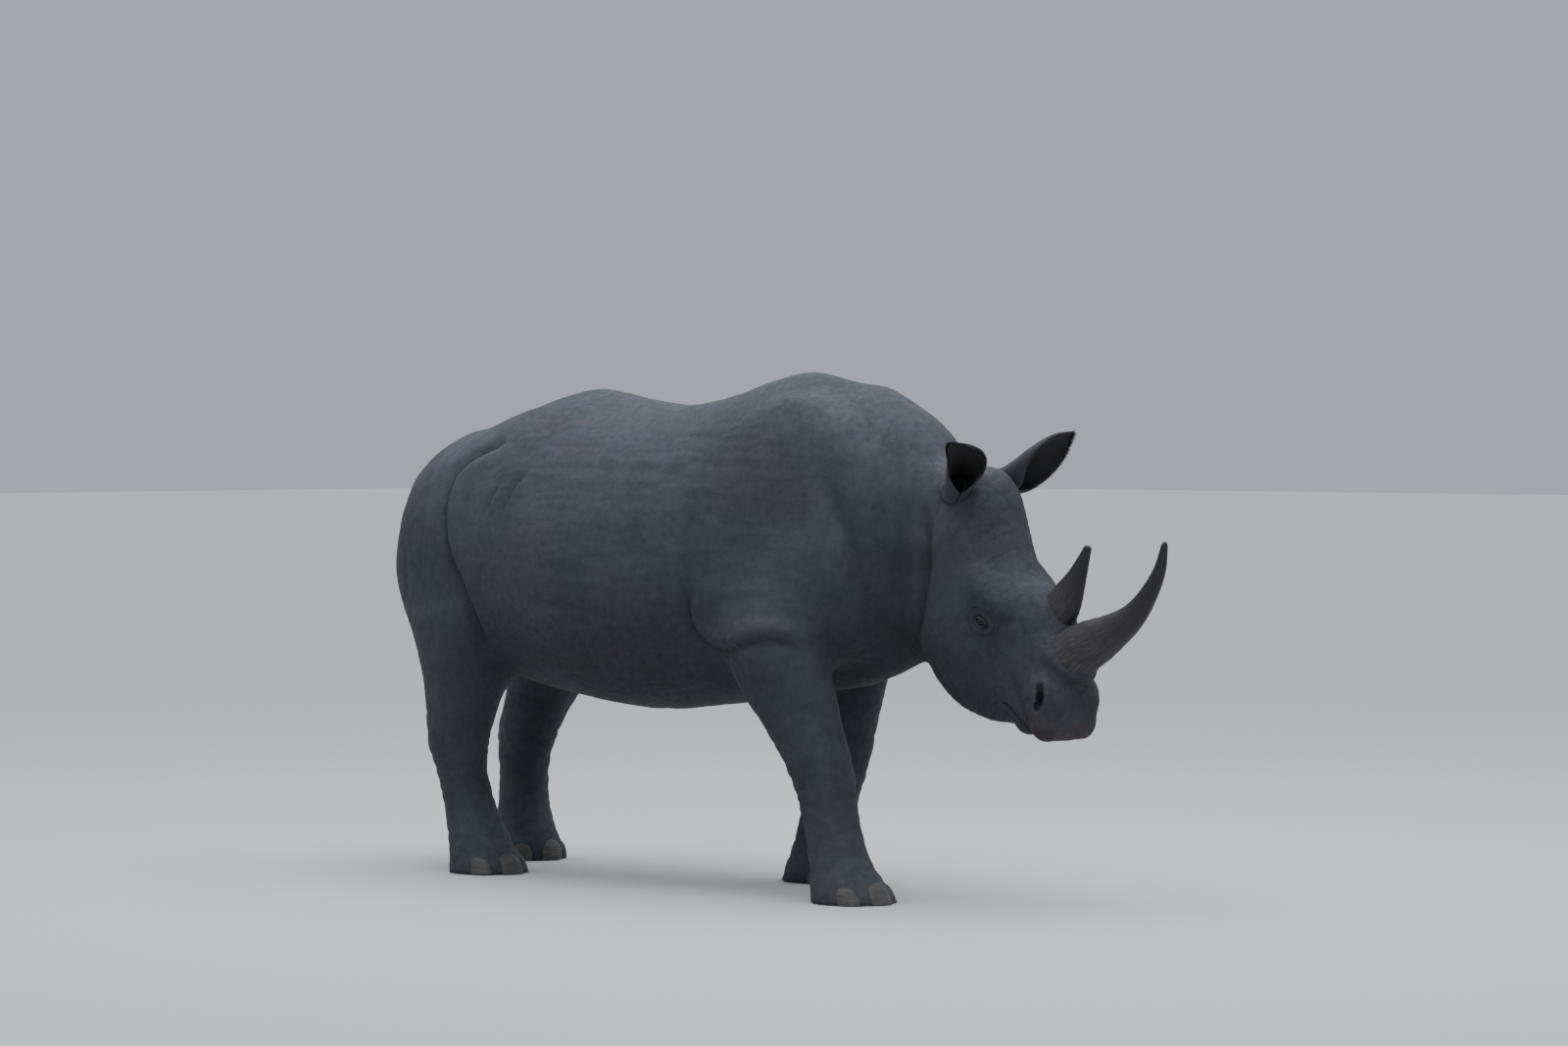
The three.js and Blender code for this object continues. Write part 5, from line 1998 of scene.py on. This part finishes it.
@dataclass(frozen=True)
class Blotches:
    """A noise that shows between two of its levels: where a second colour lies over a first."""

    scale: float  # how fine the noise is
    detail: float  # how many finer layers it has
    rough: float  # how strong each finer layer is
    low: float
    high: float
    most: float = 1.0  # how much of the colour there is at most

    def mask(self, paint: Paint, place: object) -> Socket:
        """Lays out the mask.

        Args:
            paint: The helper for the material's nodes.
            place: Where the noise is read.

        Returns:
            How much of the second colour there is.
        """
        noise = paint.noise(place, self.scale, self.detail, self.rough)
        return paint.scale(noise, self.low, self.high, 0, self.most)


@dataclass(frozen=True)
class HideGrain:
    """The hide's fine mosaic: small plates parted by creases.

    The plates are the cells of a cell pattern read at a place bent by noise; the height falls
    at the cells' edges, with a finer set of cells and noise over it. The edges also give a mask
    of painted shade for the cracks between the plates.
    """

    bend: float = 0.05  # how far the cells are shifted, in metres
    bend_scale: float = 9.0
    bend_detail: float = 3.0
    sizes: Pair = (1.0, 2.3)  # how fine each set of cells is
    edge: float = 0.16  # how much of a cell its edge takes
    fine_scale: float = 420.0
    weights: Triple = (0.62, 0.26, 0.16)  # both sets of cells and the noise
    fade: tuple[float, float, float, float] = (0.35, 0.65, 0.25, 1.0)  # levels, and what they give
    fade_scale: float = 6.0

    def make(self) -> Tree:
        """Builds the group.

        Returns:
            The group.
        """
        tree, paint, start, end = group_of(
            "hide_grain",
            {"Place": ("NodeSocketVector", None), "Cells": ("NodeSocketFloat", 60.0)},
            {"Height": "NodeSocketFloat", "PaintedCreaseShade": "NodeSocketFloat"},
        )
        place = start.outputs["Place"]
        bend = paint.node("ShaderNodeTexNoise")
        bend.inputs["Scale"].default_value = self.bend_scale
        bend.inputs["Detail"].default_value = self.bend_detail
        paint.join(place, bend.inputs["Vector"])
        shift = paint.node("ShaderNodeVectorMath", operation="MULTIPLY_ADD")
        for socket, value in zip(shift.inputs, (bend.outputs["Color"], (self.bend,) * 3, place)):
            paint.feed(value, socket)
        edges = []
        fade = paint.scale(paint.noise(place, self.fade_scale, 2.0), *self.fade)
        for size in self.sizes:
            cells = paint.node("ShaderNodeTexVoronoi", feature="DISTANCE_TO_EDGE")
            paint.join(shift.outputs[0], cells.inputs["Vector"])
            paint.join(paint.math("MULTIPLY", start.outputs["Cells"], size), cells.inputs["Scale"])
            edges.append(paint.scale(cells.outputs["Distance"], 0.0, self.edge))
        fine = paint.noise(place, self.fine_scale, 3.0)
        total = 0.0
        for part, weight in zip((paint.math("MULTIPLY", edges[0], fade), edges[1], fine), self.weights):
            total = paint.math("ADD", paint.math("MULTIPLY", part, weight), total)
        paint.join(total, end.inputs["Height"])
        # painted shade in the cracks between the plates
        gaps = paint.math("MULTIPLY", paint.math("SUBTRACT", 1.0, edges[0]), fade)
        paint.join(gaps, end.inputs["PaintedCreaseShade"])
        return tree

    @staticmethod
    def lay(paint: Paint, grain: Tree, cells: float) -> Node:
        """Adds the group to a material.

        Args:
            paint: The helper for the material's nodes.
            grain: The group.
            cells: How fine its cells are.

        Returns:
            The group's node.
        """
        node = paint.node("ShaderNodeGroup", node_tree=grain)
        paint.join(paint.place(), node.inputs["Place"])
        node.inputs["Cells"].default_value = cells
        return node


@dataclass(frozen=True)
class HideFinish:
    """Grey hide: slate with paler and browner patches, painted darker in its creases and underneath
    as shade, and dusty with painted sky light on top.
    """

    name: str
    slate: Colour = (0.026, 0.030, 0.040, 1)
    pale: Colour = (0.041, 0.045, 0.058, 1)
    plum: Colour = (0.041, 0.034, 0.049, 1)
    teal: Colour = (0.024, 0.036, 0.038, 1)
    # the near black of painted shade, in creases and underneath
    crease: Colour = (0.008, 0.008, 0.010, 1)
    # pale blue of the dust and of the painted sky light on top
    dust_and_painted_top_light: Colour = (0.062, 0.071, 0.091, 1)
    lip: Colour = (0.050, 0.025, 0.027, 1)
    cells: float = 96.0
    stretch: Triple = (0.45, 1, 1.3)  # of the pale patches
    pale_patches: Blotches = Blotches(4.2, 5.0, 0.62, 0.38, 0.66)
    plum_patches: Blotches = Blotches(2.3, 4.0, 0.5, 0.47, 0.64, 0.85)
    teal_patches: Blotches = Blotches(3.1, 4.0, 0.5, 0.50, 0.66, 0.8)
    mottle: Blotches = Blotches(34.0, 4.0, 0.65, 0.40, 0.70, 0.30)
    specular: float = 0.35

    def make(self, grain: Tree) -> Material:
        """Builds the material.

        Args:
            grain: The group that gives the fine mosaic.

        Returns:
            The hide.
        """
        material, paint, shader = new_material(self.name)
        place = paint.place()
        cells = HideGrain.lay(paint, grain, self.cells)
        pale = self.pale_patches.mask(paint, paint.stretched(place, self.stretch))
        colour = paint.mix(pale, self.slate, self.pale)
        for blotches, above in (
            (self.plum_patches, self.plum),
            (self.teal_patches, self.teal),
            (self.mottle, self.pale),
        ):
            colour = paint.mix(blotches.mask(paint, place), colour, above)
        colour = paint.layered(
            colour,
            # dust, and painted sky light on faces that look up
            (paint.attribute("dust_and_painted_top_light"), 0.55, self.dust_and_painted_top_light),
            (paint.attribute("shade"), 0.45, self.crease),
            (paint.attribute("lip"), 0.6, self.lip),
            # painted shade in the cracks of the mosaic
            (cells.outputs["PaintedCreaseShade"], 0.16, self.crease),
            # painted shade in the folds, wrinkles and openings
            (paint.attribute("crease"), 0.8, self.crease),
        )
        paint.join(colour, shader.inputs["Base Color"])
        rough = paint.scale(paint.noise(place, 40.0, 3.0), 0.3, 0.7, 0.66, 0.86)
        paint.join(rough, shader.inputs["Roughness"])
        shader.inputs["Specular IOR Level"].default_value = self.specular
        bump(paint, shader, cells.outputs["Height"], 0.5, 0.0024)
        return material


@dataclass(frozen=True)
class EarFinish:
    """Thin dark hide, a little pinkish, painted near black inside the cup as shade."""

    outside: Colour = (0.027, 0.024, 0.037, 1)
    # near black: painted shade inside the cup and in the mosaic's cracks, and the dark hair at the tip
    # and rim
    inside: Colour = (0.006, 0.005, 0.006, 1)
    hide: Colour = (0.030, 0.032, 0.042, 1)
    pale: Colour = (0.044, 0.039, 0.057, 1)
    cells: float = 120.0
    patches: Blotches = Blotches(14.0, 4.0, 0.6, 0.36, 0.68)
    roughness: float = 0.8

    def make(self, grain: Tree) -> Material:
        """Builds the material.

        Args:
            grain: The group that gives the fine mosaic.

        Returns:
            The ear's hide.
        """
        material, paint, shader = new_material("ear_hide")
        cells = HideGrain.lay(paint, grain, self.cells)
        colour = paint.mix(self.patches.mask(paint, paint.place()), self.outside, self.pale)
        colour = paint.layered(
            colour,
            (paint.attribute("root"), 1.0, self.hide),
            (paint.attribute("hairy"), 0.8, self.inside),
            # painted shade inside the cup
            (paint.scale(paint.attribute("inner"), 0.05, 0.6), 1.0, self.inside),
            # painted shade in the cracks of the mosaic
            (cells.outputs["PaintedCreaseShade"], 0.25, self.inside),
        )
        paint.join(colour, shader.inputs["Base Color"])
        shader.inputs["Roughness"].default_value = self.roughness
        bump(paint, shader, cells.outputs["Height"], 0.4, 0.002)
        return material


@dataclass(frozen=True)
class HornFinish:
    """Packed fibres: streaked grey-brown low down, darker and smoother to the tip."""

    base: Colour = (0.060, 0.053, 0.058, 1)
    streak: Colour = (0.021, 0.019, 0.021, 1)
    tip: Colour = (0.014, 0.012, 0.016, 1)
    line_stretch: Triple = (11, 11, 3.0)  # across, across and along the horn
    band_stretch: Triple = (0.4, 0.4, 22)
    specular: float = 0.35

    def make(self) -> Material:
        """Builds the material.

        Returns:
            The horn.
        """
        material, paint, shader = new_material("horn")
        fibre = paint.node("ShaderNodeAttribute", attribute_name="fibre").outputs["Vector"]
        lines = paint.noise(paint.stretched(fibre, self.line_stretch), 3.0, 5.0, 0.65)
        bands = paint.noise(paint.stretched(fibre, self.band_stretch), 1.6, 3.0, 0.5)
        up = paint.attribute("up")
        colour = paint.mix(paint.scale(lines, 0.35, 0.65), self.streak, self.base)
        colour = paint.mix(paint.scale(bands, 0.45, 0.7, 0, 0.35), colour, self.streak)
        colour = paint.mix(paint.scale(up, 0.12, 0.75), colour, self.tip)
        paint.join(colour, shader.inputs["Base Color"])
        paint.join(paint.scale(up, 0.1, 0.9, 0.74, 0.52), shader.inputs["Roughness"])
        shader.inputs["Specular IOR Level"].default_value = self.specular
        height = paint.math("MULTIPLY", lines, paint.scale(up, 0.1, 0.95, 1.0, 0.2))
        bump(paint, shader, height, 0.6, 0.003)
        return material


@dataclass(frozen=True)
class NailFinish:
    """Worn toenail: grey-brown horn with level growth lines and dark stains, darker towards its upper
    edge.
    """

    horn: Colour = (0.068, 0.061, 0.056, 1)
    dark: Colour = (0.028, 0.026, 0.026, 1)
    stretch: Triple = (12, 12, 260)
    stains: Blotches = Blotches(30.0, 4.0, 0.6, 0.45, 0.7, 0.6)
    roughness: float = 0.62

    def make(self) -> Material:
        """Builds the material.

        Returns:
            The nails' horn.
        """
        material, paint, shader = new_material("toenail")
        place = paint.place()
        lines = paint.noise(paint.stretched(place, self.stretch), 1.0, 4.0, 0.6)
        colour = paint.mix(paint.scale(lines, 0.3, 0.7), self.dark, self.horn)
        colour = paint.mix(self.stains.mask(paint, place), colour, self.dark)
        # darker towards the upper edge, where the nail goes into the foot
        colour = paint.mix(paint.scale(paint.attribute("up"), 0.75, 1.0, 0, 0.8), colour, self.dark)
        paint.join(colour, shader.inputs["Base Color"])
        shader.inputs["Roughness"].default_value = self.roughness
        bump(paint, shader, lines, 0.35, 0.001)
        return material


@dataclass(frozen=True)
class EyeFinish:
    """A wet dark eye: black pupil, deep brown iris, brownish white hidden by the lids."""

    pupil: Colour = (0.001, 0.001, 0.001, 1)
    iris: Colour = (0.008, 0.004, 0.002, 1)
    iris_light: Colour = (0.020, 0.010, 0.005, 1)
    rim: Colour = (0.006, 0.004, 0.003, 1)
    white: Colour = (0.035, 0.024, 0.020, 1)
    iris_from: Pair = (0.22, 0.30)  # angles off the line of sight, in radians
    rim_from: Pair = (0.66, 0.78)
    white_from: Pair = (0.98, 1.15)
    roughness: float = 0.09
    specular: float = 0.28

    def make(self) -> Material:
        """Builds the material.

        Returns:
            The eye's wet surface.
        """
        material, paint, shader = new_material("eye")
        off = paint.attribute("off_axis")
        streaks = paint.noise(paint.place(), 900.0, 3.0)
        iris = paint.mix(streaks, self.iris, self.iris_light)
        colour = self.pupil
        for between, above in (
            (self.iris_from, iris),
            (self.rim_from, self.rim),
            (self.white_from, self.white),
        ):
            colour = paint.mix(paint.scale(off, *between), colour, above)
        paint.join(colour, shader.inputs["Base Color"])
        shader.inputs["Roughness"].default_value = self.roughness
        shader.inputs["Specular IOR Level"].default_value = self.specular
        return material


@dataclass(frozen=True)
class HairFinish:
    """Coarse near-black hair."""

    dark: Colour = (0.010, 0.009, 0.009, 1)
    light: Colour = (0.034, 0.028, 0.026, 1)
    tint: Blotches = Blotches(90.0, 3.0, 0.55, 0.35, 0.7)
    roughness: float = 0.55

    def make(self) -> Material:
        """Builds the material.

        Returns:
            The hair.
        """
        material, paint, shader = new_material("hair")
        colour = paint.mix(self.tint.mask(paint, paint.place()), self.dark, self.light)
        paint.join(colour, shader.inputs["Base Color"])
        shader.inputs["Roughness"].default_value = self.roughness
        return material


# ------------ stage


@dataclass(frozen=True)
class Light:
    """A square light that faces the animal: its size in metres and its power in watts."""

    name: str
    place: Triple
    size: float
    power: float


@dataclass(frozen=True)
class Stage:
    """The floor, the light and the camera."""

    distance: float = 20.0
    azimuth: float = 45.0
    elevation: float = 1.3
    lens: float = 129.15
    sensor: float = 36.0
    image: tuple[int, int] = (1600, 1067)
    aim: Triple = (0.0, 0.0, 1200.0)  # a point of the field...
    aim_pixel: Pair = (697.0, 553.0)  # ...and where it stands in the picture
    sky_rise: Pair = (0.05, 0.9)  # heights between which the sky brightens
    sky_strength: Pair = (0.54, 1.65)
    sky_colour: Colour = (0.80, 0.86, 0.95, 1)
    floor_colour: Colour = (0.50, 0.495, 0.485, 1)
    floor_half: float = 80.0
    lights: tuple[Light, ...] = (
        Light("overhead", (0.0, 0.5, 7.5), 7.0, 460.0),
        Light("front", (8.0, -6.0, 6.5), 5.0, 110.0),
    )
    lit: Triple = (0.0, 0.0, 0.9)  # what the lights face

    def make(self) -> None:
        """Builds the floor, the lights and the camera."""
        self.make_floor()
        self.make_lights()
        self.make_camera()

    def make_floor(self) -> None:
        """Lays a wide pale floor."""
        half = self.floor_half
        corners = np.array([[-half, -half, 0], [half, -half, 0], [half, half, 0], [-half, half, 0]])
        floor = new_piece("floor", corners, [[0, 1, 2, 3]], smooth=False)
        material, _, shader = new_material("floor")
        shader.inputs["Base Color"].default_value = self.floor_colour
        shader.inputs["Roughness"].default_value = 0.9
        floor.data.materials.append(material)

    def make_lights(self) -> None:
        """Sets a soft sky and two broad lights."""
        world = bpy.data.worlds.new("studio")
        world.use_nodes = True
        sky = world.node_tree.nodes["Background"]
        sky.inputs["Color"].default_value = self.sky_colour
        paint = Paint(world.node_tree)
        split = paint.node("ShaderNodeSeparateXYZ")
        paint.join(paint.node("ShaderNodeTexCoord").outputs["Generated"], split.inputs[0])
        strength = paint.scale(split.outputs["Z"], *self.sky_rise, *self.sky_strength)
        paint.join(strength, sky.inputs["Strength"])
        bpy.context.scene.world = world
        for light in self.lights:
            data = bpy.data.lights.new(light.name, "AREA")
            data.size = light.size
            data.energy = light.power
            lamp = bpy.data.objects.new(light.name, data)
            lamp.location = light.place
            aim = Vector(self.lit) - Vector(light.place)
            lamp.rotation_euler = aim.to_track_quat("-Z", "Y").to_euler()
            bpy.context.scene.collection.objects.link(lamp)

    def make_camera(self) -> None:
        """Places the camera, level, and turns it until the aimed point stands at its pixel."""
        azimuth, elevation = math.radians(self.azimuth), math.radians(self.elevation)
        target = Vector(to_row(np.array(self.aim)))
        data = bpy.data.cameras.new("camera")
        data.sensor_width = self.sensor
        data.lens = self.lens
        camera = bpy.data.objects.new("camera", data)
        camera.location = target + self.towards(azimuth, elevation) * self.distance
        focal = self.lens / self.sensor * self.image[0]
        turn = math.atan((self.aim_pixel[0] - self.image[0] / 2) / focal)
        tilt = math.atan((self.aim_pixel[1] - self.image[1] / 2) / focal)
        back = self.towards(azimuth + turn, elevation - tilt)
        camera.rotation_mode = "QUATERNION"
        camera.rotation_quaternion = (-back).to_track_quat("-Z", "Y")
        bpy.context.scene.collection.objects.link(camera)
        bpy.context.scene.camera = camera

    @staticmethod
    def towards(azimuth: float, elevation: float) -> Vector:
        """Returns the direction from the animal to a viewer, by angles in radians."""
        level = math.cos(elevation)
        return Vector((math.sin(azimuth) * level, -math.cos(azimuth) * level, math.sin(elevation)))


# ------------ assembly

FEET = {
    "fore_right": (FORELEG, Side.RIGHT),
    "fore_left": (FORELEG, Side.LEFT),
    "hind_right": (HINDLEG, Side.RIGHT),
    "hind_left": (HINDLEG, Side.LEFT),
}
TOES = {"inner": (-52.0, 62.0, 42.0), "middle": (0.0, 74.0, 52.0), "outer": (52.0, 62.0, 42.0)}


@dataclass
class Rhinoceros:
    """The whole animal: its skin and everything that stands on it."""

    body: Body = field(default_factory=Body)

    def make(self, nodes: list[str]) -> None:
        """Builds every piece.

        Args:
            nodes: The frame's node names, from which the skin takes those it covers.
        """
        grain = HideGrain().make()
        hide = HideFinish("hide").make(grain)
        ear_hide = EarFinish().make(grain)
        hair = HairFinish().make()
        horn = HornFinish().make()
        skin = Skin(self.body).make(hide)
        flesh = [name for name in nodes if name.split("_")[0] in ("trunk", "neck", "head", "leg")]
        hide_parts(*flesh, "tail")
        for part in (FRONT_HORN, REAR_HORN):
            part.make(horn)
        for ear in (RIGHT_EAR, LEFT_EAR):
            ear.make(ear_hide)
            ear.fringe(hair)
        ball = EyeFinish().make()
        for side in (Side.RIGHT, Side.LEFT):
            eye = Eye(side, self.body)
            eye.make_ball(ball)
            eye.make_lids(hide)
        nail = NailFinish().make()
        for foot, (leg, side) in FEET.items():
            for toe, (angle, height, half_width) in TOES.items():
                Toenail(leg, side, foot, toe, angle, height, half_width).make(nail)
        TailTuft().make(hair)


def main() -> None:
    """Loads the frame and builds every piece."""
    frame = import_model()
    Rhinoceros().make(list(frame["nodes"]))
    Stage().make()


if __name__ == "__main__":
    logging.basicConfig(level=logging.INFO, format="%(message)s")
    main()
